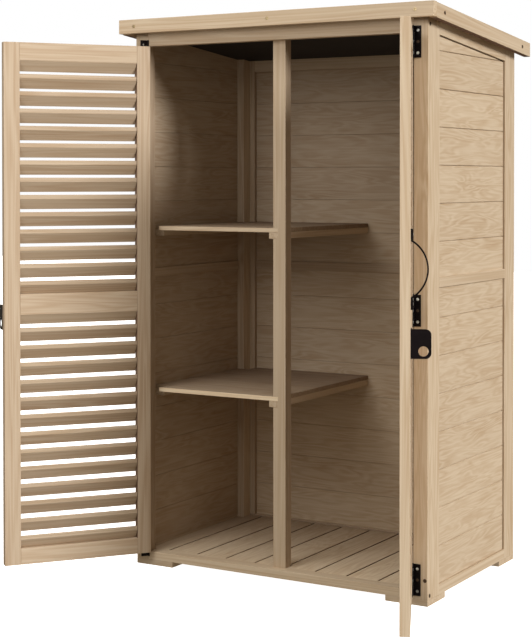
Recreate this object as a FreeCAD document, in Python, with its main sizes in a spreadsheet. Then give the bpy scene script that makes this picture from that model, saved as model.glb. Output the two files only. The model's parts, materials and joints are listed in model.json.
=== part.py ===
"""Garden storage cabinet of fir boards, with a sloping roof and two louvred doors.

Frame: millimetres, +X to the right of a person who faces the doors, +Y to the
back, +Z up. The origin is on the ground, in the middle of the four feet.
The doors stand open, as the cabinet is shown.
"""
import FreeCAD, Part
import math
import os
import re
import Sketcher
from FreeCAD import Rotation, Vector

doc = FreeCAD.newDocument("garden_storage_cabinet")
sheet = doc.addObject("Spreadsheet::Sheet", "Sizes")

SIZES = (
    # Carcass
    ("body_width", 840, "over the side walls"),
    ("body_depth", 531, "over the front and back posts"),
    ("front_height", 1390, "ground to the roof underside at the front"),
    ("roof_fall", 47, "drop of the roof underside to the back"),
    ("foot_width", 112, "foot block, left to right"),
    ("foot_depth", 98, "foot block, front to back"),
    ("foot_height", 14, "foot block"),
    ("stile_width", 64, "corner post, front to back"),
    ("stile_thick", 37.5, "corner post, left to right"),
    ("side_sill", 25, "bottom rail of a wall"),
    ("side_head", 35, "strip under the roof on a side wall"),
    ("side_belt", 24.5, "strip at half height on a side wall"),
    ("belt_level", 748, "underside of that strip"),
    ("head_depth", 24, "rail over the doors, front to back"),
    ("head_height", 39, "rail over the doors"),
    ("sill_depth", 36, "rail under the doors, front to back"),
    ("floor_level", 35, "top of the floor and of the front sill"),
    ("centre_width", 36, "middle post"),
    ("centre_depth", 28, "middle post, front to back"),
    # Matched boards of the walls
    ("board_thick", 11, "wall board"),
    ("board_pitch", 91, "wall board, joint to joint"),
    ("board_recess", 5, "side boards behind the post face"),
    ("back_recess", 7.5, "back boards behind the post face"),
    ("groove_depth", 8, "board end inside a post"),
    ("board_gap", 0.2, "air in a joint"),
    ("tongue_width", 4, "tongue"),
    ("tongue_height", 4, "tongue"),
    ("board_bevel", 1.5, "V joint"),
    ("batten_width", 16, "batten beside a back post"),
    ("batten_depth", 12, "batten and rail in front of the back boards"),
    ("back_head", 30, "rail under the roof at the back"),
    # Floor and shelves
    ("floor_thick", 11, "floor board"),
    ("floor_pitch", 87.7, "floor board, joint to joint"),
    ("floor_start", 341, "first floor joint, left of the middle"),
    ("floor_gap", 2.4, "air between floor boards"),
    ("bearer_height", 10, "bearer under the floor"),
    ("bearer_width", 24, "bearer under the floor"),
    ("shelf_thick", 11, "shelf board"),
    ("shelf_pitch", 79.7, "shelf board, joint to joint"),
    ("shelf_gap", 1.2, "air between shelf boards"),
    ("shelf_high", 884, "top of the upper shelf"),
    ("shelf_low", 462, "top of the lower shelf"),
    ("rest_height", 16, "bearer and cleat under a shelf"),
    ("rest_width", 26, "bearer and cleat under a shelf"),
    ("shelf_inset", 4, "shelf end left of the middle"),
    # Roof
    ("underlay_thick", 2, "black lining under the roof boards"),
    ("deck_thick", 18, "roof board"),
    ("deck_pitch", 98, "roof board, joint to joint"),
    ("felt_thick", 3, "roofing felt"),
    ("eaves_side", 30, "roof past a side wall"),
    ("eaves_front", 35, "roof past the front"),
    ("eaves_back", 35, "roof past the back"),
    ("fascia_thick", 18, "fascia board"),
    ("fascia_height", 36, "fascia board"),
    ("fascia_drop", 10, "fascia edge below the roof underside"),
    # Doors
    ("door_thick", 23, "door"),
    ("door_gap", 1.5, "beside a post, and half of the gap in the middle"),
    ("door_end_gap", 2, "over and under a door"),
    ("door_proud", 0.3, "door in front of the posts"),
    ("hinge_stile", 35.5, "door upright at the hinges"),
    ("free_stile", 40.5, "door upright at the handle"),
    ("door_head", 45, "top rail of a door"),
    ("door_belt", 53, "middle rail of a door"),
    ("door_belt_level", 665, "underside of that rail"),
    ("door_sill", 41, "bottom rail of a door"),
    ("louvre_pitch", 42.9, "slats of the upper field"),
    ("louvre_start", 4.8, "first slat above the upper field"),
    ("louvre_pitch_low", 43.7, "slats of the lower field"),
    ("louvre_start_low", 14, "first slat above the lower field"),
    ("slat_nose", 9, "upright height of a slat edge"),
    ("slat_fall", 25.5, "outer edge below the inner edge"),
    ("slat_recess", 2.5, "outer edge behind the door face"),
    ("slat_round", 2, "cut corner of a slat edge"),
    ("left_angle", 127.9, "left door, open from shut"),
    ("right_angle", 115.2, "right door, open from shut"),
    # Hinges
    ("hinge_height", 75, "hinge"),
    ("leaf_reach", 20.25, "leaf edge from the pin"),
    ("leaf_thick", 1.8, "leaf"),
    ("leaf_root", 1.8, "where a leaf meets its knuckles, from the pin"),
    ("knuckle_radius", 2.8, "knuckle"),
    ("knuckle_gap", 0.3, "between knuckles, and round them"),
    ("pin_radius", 1.4, "pin"),
    ("pin_gap", 0.05, "pin in a knuckle"),
    ("pin_head", 1.2, "head of a pin"),
    ("pin_offset", 1.5, "pin axis in front of the posts"),
    ("hinge_drop", 20, "middle of the top hinge below the door top"),
    ("hinge_rise", 24, "middle of the bottom hinge above the door foot"),
    ("hinge_belt_rise", 32, "middle of the middle hinge above the middle rail's underside"),
    ("leaf_screw_reach", 12.2, "leaf screws from the pin"),
    ("leaf_screw_step", 26.5, "leaf screws, one to the next"),
    # Handles and hasps
    ("handle_edge", 19, "bow handle from the free edge of the door"),
    ("handle_width", 12, "strip of the handle"),
    ("handle_level", 729, "lower end"),
    ("handle_length", 172, "end to end"),
    ("handle_foot", 25, "flat end"),
    ("foot_thick", 5.2, "flat end"),
    ("handle_rise", 38.5, "from the door face to the top of the bow"),
    ("handle_bar", 3, "bow"),
    ("hasp_level", 627, "lower end of the hasp plate"),
    ("hasp_height", 63, "hasp plate"),
    ("hasp_reach", 44.1, "eye plate from the door face"),
    ("hasp_thick", 2.5, "hasp plate"),
    ("hasp_edge", 0.5, "hasp plate from the free edge of the door"),
    ("hasp_flange", 28, "flange on the door face"),
    ("hasp_corner", 12.5, "round corner of the eye plate"),
    ("eye_radius", 10.8, "padlock eye"),
    ("eye_reach", 27.3, "centre of the eye from the door face"),
    ("eye_rise", 16, "centre of the eye above the lower end"),
    # Screws
    ("screw_radius", 2, "shank"),
    ("screw_head", 3.6, "radius of a head"),
    ("head_thick", 0.8, "head"),
    ("pilot_gap", 0.05, "hole round a shank"),
    ("short_screw", 16, "shank in the wood behind a fitting"),
    ("long_screw", 40, "shank behind a fascia or post face"),
    ("frame_screw", 60, "shank from a side face into a rail end"),
    ("frame_screw_inset", 10.5, "from the front face to those shanks"),
    ("fascia_screw_inset", 48, "from a fascia end to its screw"),
    ("fascia_screw_front", 61.7, "side fascia screw from the front face"),
    ("fascia_screw_back", 54.8, "side fascia screw from the back edge"),
    ("front_screw_inset", 7, "front screw of a post from its side"),
    ("front_screw_level", 61, "front screw of a post"),
)
for row, (alias, value, note) in enumerate(SIZES, start=1):
    sheet.set(f"A{row}", note)
    sheet.set(f"B{row}", str(value))
    sheet.setAlias(f"B{row}", alias)
doc.recompute()

ALIASES = {alias for alias, value, note in SIZES}
size = sheet.get

# Planes and lines that several pieces share
HALF = "body_width/2"
FRONT = "(-body_depth/2)"
BACK = "(body_depth/2)"
OPENING = "(body_width/2 - stile_thick)"
WALL_OUT = "(body_width/2 - board_recess)"
WALL_IN = "(body_width/2 - board_recess - board_thick)"
STILE_REAR = "(stile_width - body_depth/2)"
BACK_OUT = "(body_depth/2 - back_recess)"
BACK_IN = "(body_depth/2 - back_recess - board_thick)"
BATTEN_FRONT = "(body_depth/2 - back_recess - board_thick - batten_depth)"
WALL_FOOT = "(foot_height + side_sill)"
HEAD_FOOT = "(front_height - head_height)"
POST_FRONT = "(head_depth - body_depth/2)"
EAVES_FRONT = "(fascia_thick - body_depth/2 - eaves_front)"
EAVES_BACK = "(body_depth/2 + eaves_back)"
EAVES_SIDE = "(body_width/2 + eaves_side - fascia_thick)"
DOOR_OUTER = "(body_width/2 - stile_thick - door_gap)"
DOOR_FRONT = "(-body_depth/2 - door_proud)"
DOOR_REAR = "(door_thick - body_depth/2 - door_proud)"
DOOR_FOOT = "(floor_level + door_end_gap)"
DOOR_TOP = "(front_height - head_height - door_end_gap)"
FIELD_OUTER = "(body_width/2 - stile_thick - door_gap - hinge_stile)"
FIELD_INNER = "(door_gap + free_stile)"
PIN_X = "(body_width/2 - stile_thick - door_gap/2)"
PIN_Y = "(-body_depth/2 - pin_offset)"
HOLE = "(screw_radius + pilot_gap)"

TOWARDS_BACK = Rotation(Vector(1, 0, 0), -90)
TOWARDS_MIDDLE = Rotation(Vector(0, 1, 0), -90)


def under_roof(y):
    """Height of the roof underside at a place from front to back."""
    return f"(front_height - roof_fall*(({y}) + body_depth/2)/body_depth)"


def tie(text):
    """The expression with every size word pointed at its cell."""
    return re.sub(r"[a-z_]+", lambda m: "Sizes." + m[0] if m[0] in ALIASES else m[0], str(text))


def block(name, xs, ys, zs):
    """A rectangular piece between three pairs of planes."""
    piece = doc.addObject("Part::Box", name)
    for side, axis, (low, high) in (("Length", "x", xs), ("Width", "y", ys), ("Height", "z", zs)):
        piece.setExpression(side, tie(f"({high}) - ({low})"))
        piece.setExpression(f"Placement.Base.{axis}", tie(low))
    return piece


def rod(name, radius, length, at, turn=None):
    """A round piece that starts at a point and runs up, or the way it is turned."""
    piece = doc.addObject("Part::Cylinder", name)
    if turn:
        piece.Placement.Rotation = turn
    piece.setExpression("Radius", tie(radius))
    piece.setExpression("Height", tie(length))
    for axis, place in zip("xyz", at):
        piece.setExpression(f"Placement.Base.{axis}", tie(place))
    return piece


def together(name, pieces):
    """Separate pieces as one group."""
    group = doc.addObject("Part::Compound", name)
    group.Links = pieces
    return group


def fused(name, pieces):
    """Touching blocks as one solid, without seams."""
    whole = doc.addObject("Part::MultiFuse", name)
    whole.Shapes = pieces
    whole.Refine = True
    return whole


def less(name, base, tools):
    """A piece with others taken out of it."""
    cut = doc.addObject("Part::Cut", name)
    cut.Base = base
    cut.Tool = tools[0] if len(tools) == 1 else together(name + "_tools", tools)
    return cut


def within(name, base, limit):
    """The share of a piece that lies inside another."""
    common = doc.addObject("Part::Common", name)
    common.Base = base
    common.Tool = limit
    return common


def mirrored(name, piece):
    """The same piece on the other side of the cabinet."""
    twin = doc.addObject("Part::Mirroring", name)
    twin.Source = piece
    twin.Normal = Vector(1, 0, 0)
    return twin


def prism(name, axis, outline, low, high):
    """A body whose straight-sided outline is padded along x or y."""
    body = doc.addObject("PartDesign::Body", name)
    sketch = body.newObject("Sketcher::SketchObject", name + "_outline")
    role = {"x": "YZ_Plane", "y": "XZ_Plane"}[axis]
    plane = next(f for f in body.Origin.OriginFeatures if f.Role == role)
    sketch.AttachmentSupport = (plane, [""])
    sketch.MapMode = "FlatFace"
    # The sketch across y looks to the front, so it starts at the far plane
    start = low if axis == "x" else f"-({high})"
    sketch.setExpression("AttachmentOffset.Base.z", tie(start))
    turns = [2*math.pi*k/len(outline) for k in range(len(outline))]
    rough = [Vector(100*math.cos(turn), 100*math.sin(turn), 0) for turn in turns]
    for k, point in enumerate(rough):
        sketch.addGeometry(Part.LineSegment(point, rough[(k + 1) % len(rough)]))
    for k in range(len(rough)):
        sketch.addConstraint(Sketcher.Constraint("Coincident", k, 2, (k + 1) % len(rough), 1))
    for k, (across, up) in enumerate(outline):
        for kind, place, value in (("DistanceX", across, rough[k].x), ("DistanceY", up, rough[k].y)):
            index = sketch.addConstraint(Sketcher.Constraint(kind, -1, 1, k, 1, value))
            sketch.renameConstraint(index, f"{kind}_{k}")
            sketch.setExpression(f"Constraints.{kind}_{k}", tie(place))
    pad = body.newObject("PartDesign::Pad", name + "_pad")
    pad.Profile = sketch
    pad.setExpression("Length", tie(f"({high}) - ({low})"))
    return body


def repeated(body, pitch, copies, downwards=False):
    """Copies of a body's pad, one above or under the other."""
    pattern = body.newObject("PartDesign::LinearPattern", body.Name + "_pattern")
    pattern.Originals = [body.Tip]
    axis = next(f for f in body.Origin.OriginFeatures if f.Role == "Z_Axis")
    pattern.Direction = (axis, [""])
    pattern.Reversed = downwards
    pattern.Occurrences = copies
    pattern.setExpression("Length", tie(f"({pitch})*{copies - 1}"))
    body.Tip = pattern
    return body


nodes = {}


def node(name, pieces, placement=None):
    """A named sub-part of the cabinet, made of one piece or a group."""
    group = together(name, pieces)
    group.Label = name
    if placement:
        group.setExpression("Placement", placement)
    nodes[name] = group
    return group


def pair(name, pieces):
    """A sub-part of the right side and its mirror image on the left."""
    node("right_" + name, pieces)
    node("left_" + name, [mirrored(f"left_{name}_{k}", piece) for k, piece in enumerate(pieces)])


# Everything over the roof underside, taken off what stands under it
above = prism("above_walls", "x", [
    (f"{FRONT} - stile_width", under_roof(f"{FRONT} - stile_width")),
    (f"{BACK} + stile_width", under_roof(f"{BACK} + stile_width")),
    (f"{BACK} + stile_width", "2*front_height"),
    (f"{FRONT} - stile_width", "2*front_height"),
], "-body_width", "body_width")

def screw(name, at, turn, length):
    """A screw whose head lies on a face; the shank goes in along the turned axis."""
    back = {"y": TOWARDS_BACK, "x": TOWARDS_MIDDLE}[turn]
    step = {"y": (0, "-head_thick", 0), "x": ("head_thick", 0, 0)}[turn]
    start = [f"{place} + ({move})" for place, move in zip(at, step)]
    head = rod(name + "_head", "screw_head", "head_thick", start, back)
    shank = rod(name + "_shank", "screw_radius", f"{length} + head_thick/2", [
        f"{place} + ({move})/2" for place, move in zip(at, step)], back)
    hole = rod(name + "_hole", HOLE, length, at, back)
    return fused(name, [head, shank]), hole


# Hinge places up the door
HINGES = {
    "high": f"({DOOR_TOP} - hinge_drop)",
    "middle": "(door_belt_level + hinge_belt_rise)",
    "low": f"({DOOR_FOOT} + hinge_rise)",
}
STEPS = {"lower": "-leaf_screw_step", "central": "0", "upper": "leaf_screw_step"}

leaf_screws = {}
leaf_holes = {}
for hinge, level in HINGES.items():
    for step, rise in STEPS.items():
        made = screw(f"post_screw_{hinge}_{step}",
                     (f"{PIN_X} + leaf_screw_reach", f"{FRONT} - leaf_thick", f"{level} + {rise}"),
                     "y", "leaf_thick + short_screw")
        leaf_screws[hinge, step], leaf_holes[hinge, step] = made

# The barrel of a hinge lies half in the wood, in a groove that the post and the door share
BARREL = "(hinge_height + 2*pin_gap + 2*pin_head + 2*knuckle_gap)"
barrel_grooves = {
    hinge: rod(f"barrel_groove_{hinge}", "knuckle_radius + knuckle_gap", BARREL,
               (PIN_X, PIN_Y, f"{level} - {BARREL}/2"))
    for hinge, level in HINGES.items()}

frame_screws = {
    "head": screw("head_screw", (HALF, f"{FRONT} + frame_screw_inset", "front_height - head_height/2"),
                  "x", "frame_screw"),
    "sill": screw("sill_screw", (HALF, f"{FRONT} + frame_screw_inset", "(foot_height + floor_level)/2"),
                  "x", "frame_screw"),
    "front": screw("front_screw", (f"{HALF} - front_screw_inset", FRONT, "front_screw_level"),
                   "y", "long_screw"),
}

# Corner posts
feet = [
    block("front_foot", (f"{HALF} - foot_width", HALF), (FRONT, f"{FRONT} + foot_depth"), (0, "foot_height")),
    block("rear_foot", (f"{HALF} - foot_width", HALF), (f"{BACK} - foot_depth", BACK), (0, "foot_height")),
]
node("feet", feet + [mirrored(f"left_foot_{k}", foot) for k, foot in enumerate(feet)])

front_stile = block("front_post_stock", (OPENING, HALF), (FRONT, STILE_REAR), ("foot_height", "front_height"))
front_groove = block("front_groove", (WALL_IN, WALL_OUT), (f"{STILE_REAR} - groove_depth", STILE_REAR),
                     (WALL_FOOT, "front_height"))
pair("front_stile", [less("front_stile_cut", front_stile, [
    above, front_groove, *barrel_grooves.values(), *leaf_holes.values(),
    *(hole for made, hole in frame_screws.values())])])

rear_stile = block("rear_post_stock", (OPENING, HALF), (f"-{STILE_REAR}", BACK),
                   ("foot_height", "front_height"))
rear_groove = block("rear_groove", (WALL_IN, WALL_OUT), (f"-{STILE_REAR}", f"groove_depth - {STILE_REAR}"),
                    (WALL_FOOT, "front_height"))
back_groove = block("back_groove", (OPENING, f"{OPENING} + groove_depth"), (BACK_IN, BACK_OUT),
                    (WALL_FOOT, "front_height"))
pair("rear_stile", [less("rear_stile_cut", rear_stile, [above, rear_groove, back_groove])])

# Side walls
pair("bottom_rail", [block("side_sill_piece", (WALL_IN, HALF), (STILE_REAR, f"-{STILE_REAR}"),
                           ("foot_height", WALL_FOOT))])
pair("mid_rail", [block("side_belt_piece", (WALL_OUT, HALF), (STILE_REAR, f"-{STILE_REAR}"),
                        ("belt_level", "belt_level + side_belt"))])
pair("top_rail", [prism("side_head_piece", "x", [
    (STILE_REAR, f"{under_roof(STILE_REAR)} - side_head"),
    (f"-{STILE_REAR}", f"{under_roof('-' + STILE_REAR)} - side_head"),
    (f"-{STILE_REAR}", under_roof("-" + STILE_REAR)),
    (STILE_REAR, under_roof(STILE_REAR)),
], WALL_OUT, HALF)])


def board_outline(inner):
    """Section of a matched board: groove under, tongue over, V joints on both faces."""
    face = f"({inner} + board_thick)"
    middle = f"({inner} + board_thick/2)"
    slot = "(tongue_width/2 + board_gap)"
    top = f"({WALL_FOOT} + board_pitch - board_gap)"
    return [
        (inner, f"{WALL_FOOT} + board_bevel"),
        (f"{inner} + board_bevel", WALL_FOOT),
        (f"{middle} - {slot}", WALL_FOOT),
        (f"{middle} - {slot}", f"{WALL_FOOT} + tongue_height + board_gap"),
        (f"{middle} + {slot}", f"{WALL_FOOT} + tongue_height + board_gap"),
        (f"{middle} + {slot}", WALL_FOOT),
        (f"{face} - board_bevel", WALL_FOOT),
        (face, f"{WALL_FOOT} + board_bevel"),
        (face, f"{top} - board_bevel"),
        (f"{face} - board_bevel", top),
        (f"{middle} + tongue_width/2", top),
        (f"{middle} + tongue_width/2", f"{top} + tongue_height"),
        (f"{middle} - tongue_width/2", f"{top} + tongue_height"),
        (f"{middle} - tongue_width/2", top),
        (f"{inner} + board_bevel", top),
        (inner, f"{top} - board_bevel"),
    ]


wall_rise = size("front_height") - size("foot_height") - size("side_sill")
side_boards = repeated(prism("side_wall", "y", board_outline(WALL_IN),
                             f"{STILE_REAR} - groove_depth", f"groove_depth - {STILE_REAR}"),
                       "board_pitch", math.ceil(wall_rise/size("board_pitch")))
pair("boards", [less("side_wall_cut", side_boards, [above])])

# Back wall
back_fall = size("roof_fall")*(1 - (size("back_recess") + size("board_thick"))/size("body_depth"))
back_boards = repeated(prism("back_wall", "x", board_outline(BACK_IN),
                             f"-{OPENING} - groove_depth", f"{OPENING} + groove_depth"),
                       "board_pitch", math.ceil((wall_rise - back_fall)/size("board_pitch")))
node("back_boards", [less("back_wall_cut", back_boards, [above])])
node("back_bottom_rail", [block("back_sill_piece", (f"-{OPENING}", OPENING), (BATTEN_FRONT, BACK_OUT),
                                ("foot_height", WALL_FOOT))])
batten_stock = block("batten_stock", (f"{OPENING} - batten_width", OPENING), (BATTEN_FRONT, BACK_IN),
                     (WALL_FOOT, "front_height"))
batten = less("batten_cut", batten_stock, [above])
node("back_battens", [batten, mirrored("left_batten", batten)])
node("back_top_rail", [less("back_head_cut", block(
    "back_head_stock", (f"batten_width - {OPENING}", f"{OPENING} - batten_width"), (BATTEN_FRONT, BACK_IN),
    (f"{under_roof(BACK_IN)} - back_head", "front_height")), [above])])

# Front frame
head_stock = block("head_stock", (f"-{OPENING}", OPENING), (FRONT, POST_FRONT), (HEAD_FOOT, "front_height"))
head_cuts = [frame_screws["head"][1], barrel_grooves["high"]]
node("front_top_rail", [less("head_cut", head_stock, [
    above, *head_cuts, *(mirrored(f"left_head_cut_{k}", cut) for k, cut in enumerate(head_cuts))])])
sill_stock = block("sill_stock", (f"-{OPENING}", OPENING), (FRONT, f"{FRONT} + sill_depth"),
                   ("foot_height", "floor_level"))
sill_cuts = [frame_screws["sill"][1], barrel_grooves["low"]]
node("front_bottom_rail", [less("sill_cut", sill_stock, [
    *sill_cuts, *(mirrored(f"left_sill_cut_{k}", cut) for k, cut in enumerate(sill_cuts))])])

post_stock = block("post_stock", ("-centre_width/2", "centre_width/2"),
                   (POST_FRONT, f"{POST_FRONT} + centre_depth"), ("floor_level", "front_height"))
shelf_notches = [
    block(f"{shelf}_notch", ("-centre_width/2", "-shelf_inset"), (POST_FRONT, f"{POST_FRONT} + centre_depth"),
          (f"{shelf} - shelf_thick - rest_height", shelf))
    for shelf in ("shelf_high", "shelf_low")]
node("centre_post", [less("post_cut", post_stock, [above, *shelf_notches])])

# Floor
FLOOR_SIDE = f"({WALL_IN} - board_gap)"
FLOOR_FRONT = f"({FRONT} + sill_depth)"
floor_side = size("body_width")/2 - size("board_recess") - size("board_thick")
joints = math.floor((floor_side + size("floor_start"))/size("floor_pitch")) + 1
lines = [f"-{FLOOR_SIDE}", *(f"floor_pitch*{k} - floor_start" for k in range(joints)),
         f"{FLOOR_SIDE} + floor_gap"]
floor_slats = [
    block(f"floor_{k}", (left, f"{right} - floor_gap"), (FLOOR_FRONT, BATTEN_FRONT),
          ("floor_level - floor_thick", "floor_level"))
    for k, (left, right) in enumerate(zip(lines, lines[1:]))]
corner_front = block("corner_front", (f"{OPENING} - board_gap", HALF), (FRONT, f"{STILE_REAR} + board_gap"),
                     ("foot_height", "front_height"))
corner_rear = block("corner_rear", (f"{OPENING} - board_gap", HALF), (f"-{STILE_REAR} - board_gap", BACK),
                    ("foot_height", "front_height"))
corners = [corner_front, corner_rear,
           mirrored("corner_front_left", corner_front), mirrored("corner_rear_left", corner_rear)]
node("floor_slats", [less("floor_cut", together("floor_stock", floor_slats), corners)])
node("floor_bearers", [
    block("front_bearer", (f"-{OPENING}", OPENING), (FLOOR_FRONT, f"{FLOOR_FRONT} + bearer_width"),
          ("floor_level - floor_thick - bearer_height", "floor_level - floor_thick")),
    block("middle_bearer", (f"-{WALL_IN}", WALL_IN), ("-bearer_width/2", "bearer_width/2"),
          ("floor_level - floor_thick - bearer_height", "floor_level - floor_thick")),
    block("rear_bearer", (f"-{OPENING}", OPENING), (f"{BATTEN_FRONT} - bearer_width", BATTEN_FRONT),
          ("floor_level - floor_thick - bearer_height", "floor_level - floor_thick")),
])

# Shelves of the left half
shelf_run = size("body_depth") - 2*size("stile_width")
shelf_count = math.ceil(shelf_run/size("shelf_pitch"))
for name, level in (("upper", "shelf_high"), ("lower", "shelf_low")):
    edges = [POST_FRONT, *(f"{STILE_REAR} + shelf_pitch*{k}" for k in range(shelf_count)),
             f"-{STILE_REAR}", BACK_IN]
    boards = []
    for k, (front, rear) in enumerate(zip(edges, edges[1:])):
        end = f"batten_width - {OPENING}" if k in (0, shelf_count + 1) else f"-{WALL_IN}"
        boards.append(block(f"{name}_board_{k}", (end, "-shelf_inset"), (front, f"{rear} - shelf_gap"),
                            (f"{level} - shelf_thick", level)))
    node(f"{name}_shelf_boards", boards)
    rest = (f"{level} - shelf_thick - rest_height", f"{level} - shelf_thick")
    node(f"{name}_shelf_bearer", [block(f"{name}_bearer_piece", ("-shelf_inset - rest_width", "-shelf_inset"),
                                        (POST_FRONT, BACK_IN), rest)])
    node(f"{name}_shelf_cleat", [block(f"{name}_cleat_piece", (f"-{WALL_IN}", f"rest_width - {WALL_IN}"),
                                       (STILE_REAR, f"-{STILE_REAR}"), rest)])


# Roof
def slab(name, front, rear, low, high):
    """A layer parallel to the roof, upright at its front and rear edges."""
    return prism(name, "x", [
        (front, f"{under_roof(front)} + {low}"),
        (rear, f"{under_roof(rear)} + {low}"),
        (rear, f"{under_roof(rear)} + {high}"),
        (front, f"{under_roof(front)} + {high}"),
    ], f"-{EAVES_SIDE}", EAVES_SIDE)


FASCIA_MIDDLE = "fascia_height/2 - fascia_drop"
FASCIA_EDGE = "(-body_depth/2 - eaves_front)"
FASCIA_SIDE = "(body_width/2 + eaves_side)"
front_fascia_screw = screw("front_fascia_screw", (
    f"{FASCIA_SIDE} - fascia_screw_inset", FASCIA_EDGE,
    f"{under_roof(FASCIA_EDGE)} + {FASCIA_MIDDLE}"), "y", "long_screw")
middle_fascia_screw = screw("middle_fascia_screw", (
    "0", FASCIA_EDGE, f"{under_roof(FASCIA_EDGE)} + {FASCIA_MIDDLE}"), "y", "long_screw")
side_fascia_screws = [
    screw(f"side_fascia_screw_{k}", (FASCIA_SIDE, place, f"{under_roof(place)} + {FASCIA_MIDDLE}"),
          "x", "long_screw")
    for k, place in enumerate((f"{FASCIA_EDGE} + fascia_screw_front", f"{EAVES_BACK} - fascia_screw_back"))]
side_fascia_holes = [hole for made, hole in side_fascia_screws]
front_fascia_holes = [front_fascia_screw[1], mirrored("left_front_fascia_hole", front_fascia_screw[1]),
                      middle_fascia_screw[1]]
roof_holes = front_fascia_holes + side_fascia_holes + [
    mirrored(f"left_side_fascia_hole_{k}", hole) for k, hole in enumerate(side_fascia_holes)]

roof_depth = size("body_depth") + size("eaves_front") + size("eaves_back") - size("fascia_thick")
deck_count = math.ceil(roof_depth/size("deck_pitch"))
deck_edges = [*(f"{EAVES_FRONT} + deck_pitch*{k}" for k in range(deck_count)), f"{EAVES_BACK} + board_gap"]
DECK_TOP = "underlay_thick + deck_thick"
deck_boards = [slab(f"deck_{k}", front, f"{rear} - board_gap", "underlay_thick", DECK_TOP)
               for k, (front, rear) in enumerate(zip(deck_edges, deck_edges[1:]))]
node("roof_underlay", [slab("underlay_sheet", EAVES_FRONT, EAVES_BACK, "0", "underlay_thick")])
node("roof_deck", [less("deck_cut", together("deck_stock", deck_boards), roof_holes)])
node("roof_felt", [slab("felt_sheet", EAVES_FRONT, EAVES_BACK, DECK_TOP, f"{DECK_TOP} + felt_thick")])

front_fascia = block("front_fascia_stock", (f"-{FASCIA_SIDE}", FASCIA_SIDE), (FASCIA_EDGE, EAVES_FRONT),
                     (f"{under_roof(FASCIA_EDGE)} - fascia_drop",
                      f"{under_roof(FASCIA_EDGE)} - fascia_drop + fascia_height"))
node("fascia_front", [less("front_fascia_cut", front_fascia, front_fascia_holes)])
side_fascia = prism("side_fascia_stock", "x", [
    (EAVES_FRONT, f"{under_roof(EAVES_FRONT)} - fascia_drop"),
    (EAVES_BACK, f"{under_roof(EAVES_BACK)} - fascia_drop"),
    (EAVES_BACK, f"{under_roof(EAVES_BACK)} - fascia_drop + fascia_height"),
    (EAVES_FRONT, f"{under_roof(EAVES_FRONT)} - fascia_drop + fascia_height"),
], EAVES_SIDE, FASCIA_SIDE)
fascia = less("side_fascia_cut", side_fascia, side_fascia_holes)
node("fascia_right", [fascia])
node("fascia_left", [mirrored("left_fascia_piece", fascia)])

side_screws = [made for made, hole in frame_screws.values()]
side_screws += list(leaf_screws.values())
side_screws += [front_fascia_screw[0], *(made for made, hole in side_fascia_screws)]
node("frame_screws", side_screws + [middle_fascia_screw[0]] + [
    mirrored(f"left_frame_screw_{k}", made) for k, made in enumerate(side_screws)])


# Hinges
def leaf(name, side, level, face, own, holes_through):
    """A hinge leaf with its own knuckles, on the post (side 1) or on the door (side -1)."""
    reach = (f"{PIN_X} + knuckle_radius + 2*knuckle_gap", f"{PIN_X} + leaf_reach")
    root = (f"{PIN_X} + leaf_root", f"{PIN_X} + knuckle_radius + 2*knuckle_gap")
    if side < 0:
        reach = (f"{PIN_X} - leaf_reach", f"{PIN_X} - knuckle_radius - 2*knuckle_gap")
        root = (f"{PIN_X} - knuckle_radius - 2*knuckle_gap", f"{PIN_X} - leaf_root")
    depth = (f"{face} - leaf_thick", face)
    low = f"{level} - hinge_height/2"
    pieces = [block(name + "_plate", reach, depth, (low, f"{low} + hinge_height"))]
    for k in own:
        foot = f"{low} + hinge_height*{k}/5 + knuckle_gap/2"
        pieces.append(block(f"{name}_root_{k}", root, depth,
                            (foot, f"{foot} + hinge_height/5 - knuckle_gap")))
        pieces.append(rod(f"{name}_knuckle_{k}", "knuckle_radius", "hinge_height/5 - knuckle_gap",
                          (PIN_X, PIN_Y, foot)))
    bore = rod(name + "_bore", "pin_radius + pin_gap", "hinge_height", (PIN_X, PIN_Y, low))
    return less(name, fused(name + "_stock", pieces), [bore, *holes_through])


post_leaves = [leaf(f"post_leaf_{hinge}", 1, level, FRONT, (0, 2, 4),
                    [leaf_holes[hinge, step] for step in STEPS]) for hinge, level in HINGES.items()]
pair("post_hinge_leaves", post_leaves)

pins = []
for hinge, level in HINGES.items():
    low = f"{level} - hinge_height/2"
    shank = rod(f"pin_{hinge}_shank", "pin_radius", "hinge_height + 2*pin_gap",
                (PIN_X, PIN_Y, f"{low} - pin_gap"))
    ends = (f"{low} - pin_gap - pin_head", f"{low} + hinge_height + pin_gap")
    heads = [rod(f"pin_{hinge}_head_{k}", "(pin_radius + knuckle_radius)/2", "pin_head", (PIN_X, PIN_Y, end))
             for k, end in enumerate(ends)]
    pins.append(fused(f"pin_{hinge}", [shank, *heads]))
pair("hinge_pins", pins)

# Doors, drawn shut on the right and then swung open
door_screws = []
door_holes = {}
for hinge, level in HINGES.items():
    for step, rise in STEPS.items():
        made, hole = screw(f"door_screw_{hinge}_{step}", (
            f"{PIN_X} - leaf_screw_reach", f"{DOOR_FRONT} - leaf_thick", f"{level} + {rise}"),
            "y", "leaf_thick + short_screw")
        door_holes[hinge, step] = hole
        # The outer screw of the end hinges has no wood behind it
        if (hinge, step) not in (("high", "upper"), ("low", "lower")):
            door_screws.append(made)

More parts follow.
